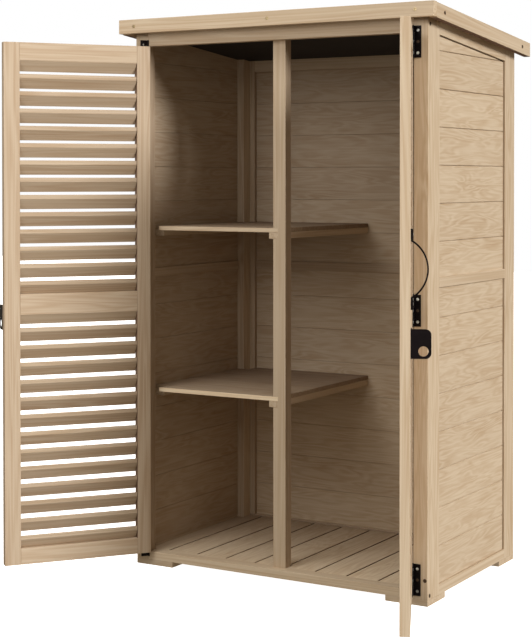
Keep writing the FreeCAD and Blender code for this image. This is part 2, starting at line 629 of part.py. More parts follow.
HANDLE_LEFT = "(door_gap + handle_edge)"
HANDLE_X = "door_gap + handle_edge + handle_width/2"
handle_holes = []
for name, place in (("lower", "handle_level + handle_foot/2"),
                    ("upper", "handle_level + handle_length - handle_foot/2")):
    made, hole = screw(f"handle_screw_{name}", (HANDLE_X, f"{DOOR_FRONT} - foot_thick", place),
                       "y", "foot_thick + short_screw")
    door_screws.append(made)
    handle_holes.append(hole)
hasp_holes = []
HASP_OUT = "(door_gap + hasp_edge)"
for name, place in (("lower", "hasp_level + hasp_height/4"), ("upper", "hasp_level + 3*hasp_height/4")):
    made, hole = screw(f"hasp_screw_{name}", (
        f"{HASP_OUT} + (hasp_thick + hasp_flange)/2", f"{DOOR_FRONT} - hasp_thick", place),
        "y", "hasp_thick + short_screw")
    door_screws.append(made)
    hasp_holes.append(hole)

DOOR_DEPTH = (DOOR_FRONT, DOOR_REAR)
hinge_upright = block("hinge_upright", (FIELD_OUTER, DOOR_OUTER), DOOR_DEPTH, (DOOR_FOOT, DOOR_TOP))
free_upright = block("free_upright", ("door_gap", FIELD_INNER), DOOR_DEPTH, (DOOR_FOOT, DOOR_TOP))


def door_rail(name, low, high):
    """A rail between the two uprights of a door."""
    return block(name, (FIELD_INNER, FIELD_OUTER), DOOR_DEPTH, (low, high))


def louvres(name, low, high, pitch, start, field):
    """Slanted slats down a field, cut off at the rails."""
    nose = f"({high} + {start})"
    inner = DOOR_REAR
    outer = f"({DOOR_FRONT} + slat_recess)"
    slat = prism(name + "_slat", "x", [
        (inner, f"{nose} - slat_round"),
        (f"{inner} - slat_round", nose),
        (outer, f"{nose} - slat_fall"),
        (outer, f"{nose} - slat_fall - slat_nose + slat_round"),
        (f"{outer} + slat_round", f"{nose} - slat_fall - slat_nose"),
        (inner, f"{nose} - slat_nose"),
    ], FIELD_INNER, FIELD_OUTER)
    copies = math.floor((field + size(start))/size(pitch)) + 1
    return within(name, repeated(slat, pitch, copies, downwards=True), door_rail(name + "_field", low, high))


belt_top = size("door_belt_level") + size("door_belt")
upper_field = size("front_height") - size("head_height") - size("door_end_gap") - size("door_head") - belt_top
lower_field = size("door_belt_level") - size("floor_level") - size("door_end_gap") - size("door_sill")
upper_slats = louvres("upper_louvres", "door_belt_level + door_belt", f"({DOOR_TOP} - door_head)",
                      "louvre_pitch", "louvre_start", upper_field)
lower_slats = louvres("lower_louvres", f"{DOOR_FOOT} + door_sill", "door_belt_level",
                      "louvre_pitch_low", "louvre_start_low", lower_field)

# Bow handle: a strip bent to an arc between two flat ends
HANDLE_SPAN = "(handle_length - 2*handle_foot)"
BOW_RISE = "(handle_rise - foot_thick)"
BOW_RADIUS = f"({HANDLE_SPAN}*{HANDLE_SPAN}/4 + {BOW_RISE}*{BOW_RISE})/(2*{BOW_RISE})"
HANDLE_MIDDLE = "(handle_level + handle_length/2)"
bow_at = (f"{HANDLE_LEFT} + handle_width", f"{DOOR_FRONT} - handle_rise + {BOW_RADIUS}", HANDLE_MIDDLE)
bow = less("bow_ring", rod("bow_outer", BOW_RADIUS, "handle_width", bow_at, TOWARDS_MIDDLE),
           [rod("bow_inner", f"{BOW_RADIUS} - handle_bar", "handle_width", bow_at, TOWARDS_MIDDLE)])
bow_part = within("bow_part", bow, block(
    "bow_space", (HANDLE_LEFT, f"{HANDLE_LEFT} + handle_width"),
    (f"{DOOR_FRONT} - handle_rise", DOOR_FRONT), ("handle_level", "handle_level + handle_length")))
handle_feet = [
    block(f"handle_foot_{k}", (HANDLE_LEFT, f"{HANDLE_LEFT} + handle_width"),
          (f"{DOOR_FRONT} - foot_thick", DOOR_FRONT), (place, f"{place} + handle_foot"))
    for k, place in enumerate(("handle_level", "handle_level + handle_length - handle_foot"))]
handle = less("handle_piece", fused("handle_stock", [bow_part, *handle_feet]), handle_holes)

# Hasp: a flange on the door face and an eye plate that stands out from it
EYE_X = (HASP_OUT, f"{HASP_OUT} + hasp_thick")
HASP_TIP = f"({DOOR_FRONT} - hasp_reach)"
HASP_TOP = "(hasp_level + hasp_height)"
eye_pieces = [
    block("hasp_flange_plate", (HASP_OUT, f"{HASP_OUT} + hasp_flange"),
          (f"{DOOR_FRONT} - hasp_thick", DOOR_FRONT), ("hasp_level", HASP_TOP)),
    block("eye_root", EYE_X, (f"{HASP_TIP} + hasp_corner", DOOR_FRONT), ("hasp_level", HASP_TOP)),
    block("eye_tip", EYE_X, (HASP_TIP, f"{HASP_TIP} + hasp_corner"),
          ("hasp_level + hasp_corner", f"{HASP_TOP} - hasp_corner")),
]
for k, place in enumerate(("hasp_level + hasp_corner", f"{HASP_TOP} - hasp_corner")):
    eye_pieces.append(rod(f"eye_corner_{k}", "hasp_corner", "hasp_thick",
                          (EYE_X[1], f"{HASP_TIP} + hasp_corner", place), TOWARDS_MIDDLE))
eye_hole = rod("eye_hole", "eye_radius", "hasp_thick",
               (EYE_X[1], f"{DOOR_FRONT} - eye_reach", "hasp_level + eye_rise"), TOWARDS_MIDDLE)
hasp = less("hasp_piece", fused("hasp_stock", eye_pieces), [eye_hole, *hasp_holes])

door_pieces = {
    "hinge_stile": [less("hinge_upright_cut", hinge_upright, [
        *barrel_grooves.values(), *door_holes.values()])],
    "free_stile": [less("free_upright_cut", free_upright, handle_holes + hasp_holes)],
    "top_rail": [door_rail("door_head_piece", f"{DOOR_TOP} - door_head", DOOR_TOP)],
    "mid_rail": [door_rail("door_belt_piece", "door_belt_level", "door_belt_level + door_belt")],
    "bottom_rail": [door_rail("door_sill_piece", DOOR_FOOT, f"{DOOR_FOOT} + door_sill")],
    "slats": [upper_slats, lower_slats],
    "handle": [handle],
    "hasp": [hasp],
    "hinge_leaves": [leaf(f"door_leaf_{hinge}", -1, level, DOOR_FRONT, (1, 3),
                          [door_holes[hinge, step] for step in STEPS]) for hinge, level in HINGES.items()],
    "screws": door_screws,
}
for name, pieces in door_pieces.items():
    left = [mirrored(f"left_door_{name}_{k}", piece) for k, piece in enumerate(pieces)]
    for side, group, sign in (("right", pieces, ""), ("left", left, "-")):
        swing = tie(f"placement(vector(0; 0; 0); rotation(vector(0; 0; 1); {sign}{side}_angle); "
                    f"vector({sign}{PIN_X}; {PIN_Y}; 0))")
        node(f"{side}_door_{name}", group, swing)

doc.recompute()

for item in doc.Objects:
    if "Invalid" in item.State or "Error" in item.State:
        raise RuntimeError(f"{item.Name} did not build: {item.State}")
for name, group in nodes.items():
    if group.Shape.isNull() or not group.Shape.isValid():
        raise RuntimeError(f"{name} has no valid shape")

os.makedirs("parts", exist_ok=True)
for name, group in nodes.items():
    group.Shape.exportStep(f"parts/{name}.step")
    print(f"{name}: {len(group.Shape.Solids)} solids, {group.Shape.Volume/1000:.1f} cm3")
print(f"{len(nodes)} nodes")
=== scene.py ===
"""Looks of a garden storage cabinet of planed fir boards, with louvred doors and black fittings.

Lengths are in metres. The origin is on the ground in the middle of the feet, with +X to the right
of a person who faces the doors, +Y to the back and +Z up. Doors are drawn shut and then swung open.
"""
import json
import math
from collections import namedtuple
from functools import wraps

import bmesh
import bpy
import numpy as np
from bpy.props import FloatProperty, FloatVectorProperty, PointerProperty
from bpy.types import Operator, Panel, PropertyGroup
from mathutils import Matrix, Vector

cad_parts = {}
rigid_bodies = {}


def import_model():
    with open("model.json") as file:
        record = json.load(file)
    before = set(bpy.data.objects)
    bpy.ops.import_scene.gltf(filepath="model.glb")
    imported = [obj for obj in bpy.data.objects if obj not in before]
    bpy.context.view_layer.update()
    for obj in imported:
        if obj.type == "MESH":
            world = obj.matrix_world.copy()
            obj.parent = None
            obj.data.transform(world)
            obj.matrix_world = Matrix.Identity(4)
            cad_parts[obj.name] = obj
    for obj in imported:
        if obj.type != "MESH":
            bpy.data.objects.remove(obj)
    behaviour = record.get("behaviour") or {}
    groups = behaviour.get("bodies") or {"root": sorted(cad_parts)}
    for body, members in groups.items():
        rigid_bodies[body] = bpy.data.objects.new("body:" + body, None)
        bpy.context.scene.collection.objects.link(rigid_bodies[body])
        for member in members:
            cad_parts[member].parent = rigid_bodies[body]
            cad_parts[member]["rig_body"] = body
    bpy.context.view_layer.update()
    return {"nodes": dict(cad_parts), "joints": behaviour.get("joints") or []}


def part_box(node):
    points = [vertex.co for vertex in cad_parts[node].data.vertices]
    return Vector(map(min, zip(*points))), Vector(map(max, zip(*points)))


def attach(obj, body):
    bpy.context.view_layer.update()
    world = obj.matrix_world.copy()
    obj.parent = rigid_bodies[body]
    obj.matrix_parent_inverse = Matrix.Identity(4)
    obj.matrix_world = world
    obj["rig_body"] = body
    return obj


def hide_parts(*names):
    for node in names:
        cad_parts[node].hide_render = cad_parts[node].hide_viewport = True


bl_info = {
    "name": "Garden storage cabinet",
    "version": (1, 0, 0),
    "blender": (4, 5, 0),
    "location": "3D View > Sidebar > Cabinet",
    "description": "Dresses the frame of a garden storage cabinet in boards, felt and fittings",
    "category": "Object",
}

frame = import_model()
HINGES = {joint["child"]: joint for joint in frame["joints"]}

MM = 0.001

# Roof
ROOF_LEVEL = 1390*MM  # underside at the front
ROOF_FALL = 47*MM  # drop of the underside to the back
ROOF_SPARE = 60*MM  # what posts and rails are drawn too tall, before the roof cuts them
LINING_TOP = 2*MM  # layers above the underside
DECK_TOP = 20*MM
FELT_TOP = 23*MM
LINING_EDGE = 0.4*MM
FELT_EDGE = 0.8*MM
FASCIA_FOOT = -10*MM  # side fascia, from the underside
FASCIA_TOP = 26*MM

# Walls, floor and middle post
BOARD_THICK = 11*MM
BOARD_PITCH = 91*MM
BOARD_BACK = 4*MM  # inner part of a matched board, left rough
POST_DEPTH = 30*MM  # front post inside the cabinet, front to back
WALL_SKIN = 2.5*MM  # inner part of a wall board, which laps the posts
WALL_GROOVE = 2*MM  # between the outer part of the boards and the posts
WALL_ROWS = 24
STRIP_HEIGHT = 35*MM  # strip under the roof on a side wall
STRIP_GROOVE = 2.5*MM
BELT_THICK = 4*MM  # strip at half height on the inside of a wall
FLOOR_TRIM = 1.2*MM  # what a floor board is narrower than its solid at the top, on each side
FLOOR_LAP = 1.2*MM  # what its lower part is wider, which closes the joint
FLOOR_STEP = 6*MM  # from its top to that lower part
NOTCH_FACE = -4*MM  # where the shelves end inside the middle post

# Louvres, by the height of the topmost edge of a field and the distance from slat to slat
UPPER_LOUVRES = (1313.6*MM, 43.3*MM)
LOWER_LOUVRES = (677.1*MM, 43.6*MM)
SLAT_INSET = 2.5*MM  # slats behind the outer face of the rails
SLAT_CUT = 2*MM  # flat along the sharp edges of a slat
SLAT_EDGE = 0.8*MM
SLAT_SHORT = 1.6*MM  # air between a slat and the hinge upright
TENON_LENGTH = 2*MM

# Fittings
LEAF_THICK = 1.8*MM
LEAF_NEAR = 3.4*MM  # hinge leaf, from the pin
LEAF_FAR = 20.25*MM
HINGE_HEIGHT = 75*MM
HOLE_REACH = 12.2*MM  # screw holes of a leaf, from the pin
HOLE_STEP = 26.5*MM
HOLE_RADIUS = 2*MM
KNUCKLE_RADIUS = 2.8*MM
KNUCKLE_GAP = 0.3*MM
LEAF_WEB = (1.8*MM, 3.8*MM)  # strip between a leaf and its knuckles, from the pin
BARREL_ROOM = 3.1*MM  # radius of the groove that clears the knuckles
BARREL_SPARE = 0.3*MM  # what the groove is longer at each end
PIN_RADIUS = 1.4*MM
PIN_HEAD = 2.1*MM
HANDLE_FOOT = 25*MM  # flat end of a handle
HANDLE_RISE = 38.5*MM
FOOT_THICK = 5.2*MM
BOW_THICK = 3.6*MM
HASP_THICK = 2.5*MM
HASP_CORNER = 12.5*MM
HASP_PANEL = 2*MM  # thickness inside the rim
EYE_RADIUS = 10.8*MM
EYE_REACH = 27.3*MM  # eye of a hasp, from the door and from the foot of the plate
EYE_RISE = 16*MM
SCREW_HEAD = 3.6*MM
FASCIA_HEAD = 4.4*MM
FRAME_HEAD = 4.6*MM
FASCIA_CLEAR = 5*MM  # screws that stand further than this before the posts sit in the fascia
HEAD_HEIGHT = 0.8*MM
RECESS_DEPTH = 0.7*MM  # crossed recess: depth, half width of an arm, and its reach
RECESS_HALF = 0.55*MM
RECESS_REACH = 2.1*MM

# Painted light and shade on the wood, in steps of 3 to 4 %: painted shade darkens faces inside the cabinet,
# in corners, in joints and under the eaves, and painted light makes some boards and edges lighter
PAINTED_SHADE = 6  # painted shade on faces inside the cabinet and in corners
# Painted shade on the inner face of each front post
POST_PAINTED_SHADE = 9
# Painted shade on the inner face of the back boards
BACK_PAINTED_SHADE = 1
# Painted shade in the floor joints and on the underside of the side eaves
SHADED = 22
BACK_SHADE_RAMP = (300*MM, 1200*MM, 6)  # painted shade, darker from one height to the other by so many steps
# Painted light on the sill and on the front fascia
SILL_PALE = 5
FASCIA_PALE = 3
FLOOR_PALE = 10  # painted light in the middle, with so many steps more for each metre to the right
FLOOR_SLOPE = 9
# Painted shade on the floor, darker towards the back by so many steps
FLOOR_SHADE_RAMP = 16
SHELVES = {"upper": (4, 12), "lower": (15, 22)}  # painted light on the front edge, and painted shade that leaves the rest darker than that
# Painted shade on the shelves, darker towards the back by so many steps
SHELF_SHADE_RAMP = 8
# Painted light on the right door and painted shade on the left door
DOORS = {"right": 2, "left": -5}

# Camera, which looks at the front from the right
LENS, SENSOR, CAMERA_REACH = 86.26, 36, 50
CAMERA_SHIFT = (-0.053, -0.18)
CAMERA_PLACE = (1.95586, -3.52349, 1.00575)
CAMERA_ANGLES = (30.02, 0.95)

END_SHARE = 0.85  # rounding of a board's end, as a share of that of its edges
ON_FACE = 0.1*MM  # depth in which points count as lying on a face
SOFT = 0.3*MM  # bevel of stamped steel


def box(node):
    """Lowest and highest corner of a CAD node, as arrays."""
    low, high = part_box(node)
    return np.array(low), np.array(high)


FRONT = box("right_front_stile")[0][1]
BACK = box("right_rear_stile")[1][1]
WALL_INNER, WALL_OUTER = box("right_boards")[0][0], box("right_boards")[1][0]
PIN = np.array(HINGES["right_door"]["pos_m"][:2])


def roof(y):
    """Height of the roof underside, which falls evenly from the front to the back."""
    return ROOF_LEVEL - ROOF_FALL*(y - FRONT)/(BACK - FRONT)


# Solids of the frame

def turned(points, body, way):
    """Points of a door turned about its hinge: way 1 opens a shut door, way -1 shuts it."""
    joint = HINGES[body]
    angle = -way*math.radians(joint["range_deg"][0])
    spin = np.array(Matrix.Rotation(angle, 3, Vector(joint["axis"])))
    pin = np.array(joint["pos_m"])
    return (points - pin) @ spin.T + pin


def solids(node):
    """The corner points of each separate solid of a CAD node; those of a door are turned shut.

    Points that an edge joins share the lowest of their numbers, until no number changes."""
    source = bmesh.new()
    source.from_mesh(frame["nodes"][node].data)
    bmesh.ops.remove_doubles(source, verts=source.verts, dist=0.02*MM)
    merged = bpy.data.meshes.new("merged")
    source.to_mesh(merged)
    source.free()
    points = np.empty(len(merged.vertices)*3)
    merged.vertices.foreach_get("co", points)
    points = points.reshape(-1, 3)
    edges = np.empty(len(merged.edges)*2, int)
    merged.edges.foreach_get("vertices", edges)
    edges = edges.reshape(-1, 2)
    bpy.data.meshes.remove(merged)
    label = np.arange(len(points))
    while True:
        lowest = label[edges].min(1)
        new = label.copy()
        np.minimum.at(new, edges[:, 0], lowest)
        np.minimum.at(new, edges[:, 1], lowest)
        new = new[new]
        if (new == label).all():
            break
        label = new
    body = frame["nodes"][node]["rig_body"]
    if body in HINGES:
        points = turned(points, body, -1)
    return [points[label == k] for k in np.unique(label)]


def boxes(node):
    """Lowest and highest corner of each solid of a CAD node, from left to right and upwards."""
    found = [(solid.min(0), solid.max(0)) for solid in solids(node)]
    return sorted(found, key=lambda corners: tuple(np.round(corners[0], 4)))


# Surfaces

Part = namedtuple("Part", "points faces grain tone")
chance = np.random.default_rng(38)


def grain_of(points, along):
    """Coordinates of wood: length along the board, then across and through it, from the pith.

    The pith lies behind the broad face, a few centimetres off, as in a board cut beside the heart.
    The length is drawn together on wide boards only, since narrow ones are cut from straighter wood."""
    across = [k for k in range(3) if k != along]
    size = np.ptp(points, axis=0)
    wide, thin = sorted(across, key=lambda k: -size[k])
    middle = (points.min(0) + points.max(0))/2
    side = chance.choice((-1, 1))
    straight = np.clip(size[wide]/(90*MM), 0.25, 1)**1.5
    return np.stack([
        straight*points[:, along] + chance.uniform(0, 40),
        points[:, wide] - middle[wide] + chance.normal(0, 0.22)*size[wide],
        points[:, thin] - middle[thin] + side*chance.uniform(18*MM, 60*MM)], axis=-1)


def skin(rings, along=0, closed=False):
    """Four-sided faces between rows of points that run round a shape. Rows at the two ends are
    capped by one face each, or the last row meets the first where the shape is closed."""
    rows, columns = rings.shape[:2]
    index = np.arange(rows*columns).reshape(rows, columns)
    following = np.roll(index, -1, axis=0)
    if not closed:
        index, following = index[:-1], following[:-1]
    quads = np.stack([index, np.roll(index, -1, 1), np.roll(following, -1, 1), following], -1)
    faces = [quads.reshape(-1, 4)]
    if not closed:
        faces += [index[:1, ::-1], following[-1:]]
    points = rings.reshape(-1, 3)
    return Part(points, faces, grain_of(points, along), chance.uniform(-1, 1))


def rounded(low, high, radius, steps=3):
    """Rectangle with round corners: each corner is a quarter circle round its own centre."""
    low, high = np.asarray(low, float), np.asarray(high, float)
    radius = min(radius, 0.49*float(np.min(high - low)))
    angles = np.radians(np.arange(4)[:, None]*90 + np.linspace(0, 90, steps)).ravel()
    signs = np.repeat([[1, 1], [-1, 1], [-1, -1], [1, -1]], steps, axis=0)
    middle, half = (low + high)/2, (high - low)/2 - radius
    return middle + signs*half + radius*np.stack([np.cos(angles), np.sin(angles)], -1)


def softened(outline, radius, steps=4):
    """An outline with each corner replaced by a curve that leaves and meets its sides at the same
    distance, a parabola between the two points with the corner as its control."""
    before, after = np.roll(outline, 1, axis=0) - outline, np.roll(outline, -1, axis=0) - outline
    lengths = np.linalg.norm(before, axis=1, keepdims=True), np.linalg.norm(after, axis=1, keepdims=True)
    start = outline + before/lengths[0]*np.minimum(radius, 0.45*lengths[0])
    end = outline + after/lengths[1]*np.minimum(radius, 0.45*lengths[1])
    t = np.linspace(0, 1, steps)[None, :, None]
    curve = (1 - t)**2*start[:, None] + 2*t*(1 - t)*outline[:, None] + t**2*end[:, None]
    return curve.reshape(-1, 2)


def stepped(outline):
    """The same outline with extra points every 0.6 mm beside the ends of its long sides."""
    steps = np.arange(0.6, 4.3, 0.6)*MM
    pieces = []
    for corner, following in zip(outline, np.roll(outline, -1, axis=0)):
        length = np.linalg.norm(following - corner)
        places = np.concatenate([[0], steps, length - steps[::-1]]) if length > 12*MM else np.zeros(1)
        pieces.append(corner + places[:, None]*(following - corner)/length)
    return np.concatenate(pieces)


def evenly(outline, count):
    """Points at even steps along a closed outline, with its own corners kept."""
    ahead = np.roll(outline, -1, axis=0) - outline
    lengths = np.linalg.norm(ahead, axis=1)
    numbers = np.maximum(1, np.round(count*lengths/lengths.sum())).astype(int)
    return np.concatenate([corner + np.arange(number)[:, None]/number*side
                           for corner, side, number in zip(outline, ahead, numbers)])


def clipped(outline, low, high):
    """The share of an outline between two heights, by the rule that each side which crosses a
    limit is cut there."""
    for limit, sign in ((low, 1), (high, -1)):
        kept = []
        for here, there in zip(outline, np.roll(outline, -1, axis=0)):
            inside, next_inside = sign*(here[1] - limit) >= 0, sign*(there[1] - limit) >= 0
            if inside:
                kept.append(here)
            if inside != next_inside:
                kept.append(here + (there - here)*(limit - here[1])/(there[1] - here[1]))
        outline = np.array(kept)
    return outline


def inward(outline):
    """How far each corner of a closed outline moves when all its sides move in by one: the sum of
    the two inward normals, over one plus their product."""
    ahead = np.roll(outline, -1, axis=0) - outline
    ahead = ahead/np.linalg.norm(ahead, axis=1, keepdims=True)
    normal = np.stack([-ahead[:, 1], ahead[:, 0]], -1)
    before = np.roll(normal, 1, axis=0)
    return (normal + before)/(1 + (normal*before).sum(1, keepdims=True))


def worked(edge):
    """Rows at the end of a board: how far each lies from the end, by one minus the cosine of a
    quarter turn, and how far its outline draws in, by one minus the sine. An end cut square has one row."""
    turn = np.radians((0, 45, 90) if edge else (90,))
    return END_SHARE*edge*(1 - np.cos(turn)), END_SHARE*edge*(1 - np.sin(turn))


def carried(outline, along, start, end, edges, stops=(), shape=None):
    """An outline carried along one axis, with extra rows at the stops and its two ends worked to
    their edges. The shape is a function that moves the finished rows."""
    (near, near_drawn), (far, far_drawn) = worked(edges[0]), worked(edges[1])
    places = np.concatenate([start + near, stops, (end - far)[::-1]])
    depths = np.concatenate([near_drawn, np.zeros(len(stops)), far_drawn[::-1]])
    across = [k for k in range(3) if k != along]
    rings = np.empty((len(places), len(outline), 3))
    rings[..., across] = outline + depths[:, None, None]*inward(outline)
    rings[..., along] = places[:, None]
    return skin(shape(rings) if shape else rings, along)


def board(low, high, along, edge, shape=None, stops=(), end_edge=None):
    """A planed board between two corners, with its edges rounded."""
    across = [k for k in range(3) if k != along]
    outline = rounded(np.asarray(low)[across], np.asarray(high)[across], edge)
    edges = edge, edge if end_edge is None else end_edge
    return carried(outline, along, low[along], high[along], edges, stops, shape)


def under_roof(rings):
    """Cuts off what stands above the roof underside."""
    rings[..., 2] = np.minimum(rings[..., 2], roof(rings[..., 1]))
    return rings


def along_roof(rings):
    """Lifts a flat layer by the height of the roof underside."""
    rings[..., 2] += roof(rings[..., 1])
    return rings


def up_to_roof(low, high, along, edge, shape=under_roof, stops=()):
    """A rail or post that is drawn too tall, so that the roof cuts it. A post has a square cut top."""
    return board(low, high + (0, 0, ROOF_SPARE), along, edge, shape, stops, 0 if along == 2 else edge)


def mirrored(part):
    """The same part on the other side of the cabinet."""
    points = part.points*np.array((-1, 1, 1))
    return part._replace(points=points, faces=[faces[:, ::-1] for faces in part.faces])


def paler(part, steps):
    """The same part with painted light, which makes its wood lighter by so many steps, or with painted shade
    where the steps are negative.
    """
    return part._replace(tone=part.tone + steps)


def painted_shade_beyond(part, axis, level, side, steps=PAINTED_SHADE):
    """The same part with painted shade on its points beyond a level, which makes them darker."""
    # Painted shade on the points that lie beyond the level
    rough = side*(part.points[:, axis] - level) > 0
    return part._replace(tone=part.tone - steps*rough)


def painted_shade_ramp(part, start, end, steps, axis=1):
    """The same part with painted shade, which darkens its wood evenly by so many steps between two places on
    an axis.
    """
    share = np.clip((part.points[:, axis] - start)/(end - start), 0, 1)
    return part._replace(tone=part.tone - steps*share)


def opened(part, body):
    """A part of a door, drawn shut, where the open door holds it."""
    return part._replace(points=turned(part.points, body, 1))


def both(parts):
    """The parts of the right side, and their mirror images for the left."""
    return ("right", parts), ("left", [mirrored(part) for part in parts])


def piece(name, parts, coat, nodes):
    """One object of several parts that stands for CAD nodes and moves with their body."""
    starts = np.cumsum([0] + [len(part.points) for part in parts])
    mesh = bpy.data.meshes.new(name)
    faces = [face for part, start in zip(parts, starts)
             for block in part.faces for face in (block + start).tolist()]
    mesh.from_pydata(np.concatenate([part.points for part in parts]), [], faces)
    grain = np.concatenate([part.grain for part in parts])
    tone = np.concatenate([np.broadcast_to(part.tone, len(part.points)) for part in parts])
    mesh.attributes.new("grain", "FLOAT_VECTOR", "POINT").data.foreach_set("vector", grain.ravel())
    mesh.attributes.new("tone", "FLOAT", "POINT").data.foreach_set("value", tone)
    shell = bmesh.new()
    shell.from_mesh(mesh)
    bmesh.ops.dissolve_degenerate(shell, dist=0.001*MM, edges=shell.edges)
    bmesh.ops.recalc_face_normals(shell, faces=shell.faces)
    shell.to_mesh(mesh)
    shell.free()
    mesh.shade_smooth()
    mesh.materials.append(coat)
    item = bpy.data.objects.new(name, mesh)
    bpy.context.scene.collection.objects.link(item)
    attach(item, frame["nodes"][nodes[0]]["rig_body"])
    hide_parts(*nodes)
    return item


def eased(item):
    """Shades the flat faces flat and only the small rounded edges smooth."""
    item.modifiers.new("flat faces", "WEIGHTED_NORMAL").weight = 100


# Materials; the scale of a pattern is the number of its cells in a metre

def linear(code):
    """Linear colour of an sRGB hex value."""
    channels = np.array([int(code[k:k + 2], 16) for k in (1, 3, 5)])/255
    low, high = channels/12.92, ((channels + 0.055)/1.055)**2.4
    return (*np.where(channels <= 0.04045, low, high), 1.0)


def add(tree, kind, settings=None, links=None):
    """A shader node with its settings, and with its inputs set to values or linked to outputs."""
    node = tree.nodes.new("ShaderNode" + kind)
    for name, value in (settings or {}).items():
        setattr(node, name, value)
    for name, value in (links or {}).items():
        if isinstance(value, bpy.types.NodeSocket):
            tree.links.new(value, node.inputs[name])
        else:
            node.inputs[name].default_value = value
    return node


def surface(inputs):
    """Turns a function that works out the inputs of a surface shader into one that gives its
    material, which is made only once."""
    @wraps(inputs)
    def material():
        made = bpy.data.materials.get(inputs.__name__)
        if made is None:
            made = bpy.data.materials.new(inputs.__name__)
            made.use_nodes = True
            made.node_tree.nodes.clear()
            shader = add(made.node_tree, "BsdfPrincipled", links=inputs(made.node_tree))
            add(made.node_tree, "OutputMaterial", links={"Surface": shader.outputs[0]})
        return made
    return material


def clouded(tree, scale, dark, light, detail=2):
    """Soft clouds on the piece's own coordinates, and the colour that they make of two tints."""
    place = add(tree, "TexCoord").outputs["Object"]
    cloud = add(tree, "TexNoise", links={"Vector": place, "Scale": scale, "Detail": detail}).outputs["Fac"]
    colour = add(tree, "Mix", {"data_type": "RGBA"}, {0: cloud, 6: linear(dark), 7: linear(light)})
    return cloud, colour.outputs[2]


@surface
def planed_fir(tree):
    """Fir, planed and left bare: pale straw wood, with late wood that makes wavy flames some 7 mm
    apart where the saw met the rings at a slant. The fibre of 0.5 mm is drawn as streaks of 4 mm,
    because it would not show. The tone holds a random shift for each board and the painted light
    and shade; a step of tone adds 3.4 % to red, 3.8 % to green and 3.9 % to blue."""
    grain = add(tree, "Attribute", {"attribute_name": "grain"}).outputs["Vector"]
    tone = add(tree, "Attribute", {"attribute_name": "tone"}).outputs["Fac"]
    drawn = []
    for scale, detail, distortion in (((4.2, 32, 32), 2, 0.5), ((5, 20, 20), 2, 0), ((8, 230, 230), 3, 0)):
        place = add(tree, "Mapping", links={"Vector": grain, "Scale": scale}).outputs[0]
        drawn.append(add(tree, "TexNoise", links={
            "Vector": place, "Scale": 1, "Detail": detail, "Distortion": distortion}).outputs["Fac"])
    waves, patches, streaks = drawn
    flames = add(tree, "Math", {"operation": "MULTIPLY"}, {0: waves, 1: 45}).outputs[0]
    flames = add(tree, "Math", {"operation": "SINE"}, {0: flames}).outputs[0]
    figure = add(tree, "Math", {"operation": "MULTIPLY"}, {0: flames, 1: patches}).outputs[0]
    amount = -0.32
    for share, part in ((0.3, figure), (0.7, streaks), (0.5, patches)):
        amount = add(tree, "Math", {"operation": "MULTIPLY_ADD"}, {0: part, 1: share, 2: amount}).outputs[0]
    amount = add(tree, "Clamp", links={"Value": amount}).outputs[0]
    colour = add(tree, "Mix", {"data_type": "RGBA"}, {
        0: amount, 6: linear("#CCB99F"), 7: linear("#AA8C6A")}).outputs[2]
    # Painted light and shade, with each board's random shift, from the tone attribute
    shade = add(tree, "VectorMath", {"operation": "MULTIPLY_ADD"}, {
        0: tone, 1: (0.034, 0.038, 0.039), 2: (1, 1, 1)}).outputs[0]
    shade = add(tree, "VectorMath", {"operation": "MAXIMUM"}, {0: shade, 1: (0.05, 0.04, 0.03)}).outputs[0]
    colour = add(tree, "VectorMath", {"operation": "MULTIPLY"}, {0: colour, 1: shade})
    bump = add(tree, "Bump", links={"Height": amount, "Strength": 0.3, "Distance": 0.5*MM})
    return {"Base Color": colour.outputs[0], "Normal": bump.outputs[0],
            "Roughness": 0.62, "Specular IOR Level": 0.25}


@surface
def black_lacquer(tree):
    """Steel, stamped and lacquered black: a satin film with a faint orange peel of 1 mm."""
    wear, colour = clouded(tree, 60, "#0C0809", "#181112", 3)
    place = add(tree, "TexCoord").outputs["Object"]
    peel = add(tree, "TexNoise", links={"Vector": place, "Scale": 900, "Detail": 2}).outputs["Fac"]
    rough = add(tree, "MapRange", links={0: wear, 3: 0.4, 4: 0.55})
    bump = add(tree, "Bump", links={"Height": peel, "Strength": 0.2, "Distance": 0.2*MM})
    return {"Base Color": colour, "Normal": bump.outputs[0], "Roughness": rough.outputs[0],
            "Specular IOR Level": 0.12}


@surface
def zinc_plate(tree):
    """Steel screws, cold headed and zinc plated: a pale grey metal with a slightly cloudy shine."""
    cloud, colour = clouded(tree, 700, "#C9C9C4", "#F2F1EC")
    rough = add(tree, "MapRange", links={0: cloud, 3: 0.25, 4: 0.42})
    return {"Base Color": colour, "Roughness": rough.outputs[0], "Metallic": 1.0}


@surface
def browned_steel(tree):
    """Frame screws, hardened and browned in oil: near black brown, dull, with lighter worn spots. The middle
    screw of each hinge leaf takes it too, as painted shade.
    """
    colour = clouded(tree, 500, "#2B1D12", "#5A4430")[1]
    return {"Base Color": colour, "Roughness": 0.55, "Specular IOR Level": 0.3}


@surface
def yellow_zinc(tree):
    """Fascia screws, zinc plated and chromated yellow: a pale brassy shine, hardly set off from wood."""
    colour = clouded(tree, 400, "#A58F6C", "#C6B490")[1]
    return {"Base Color": colour, "Roughness": 0.45, "Metallic": 1.0}


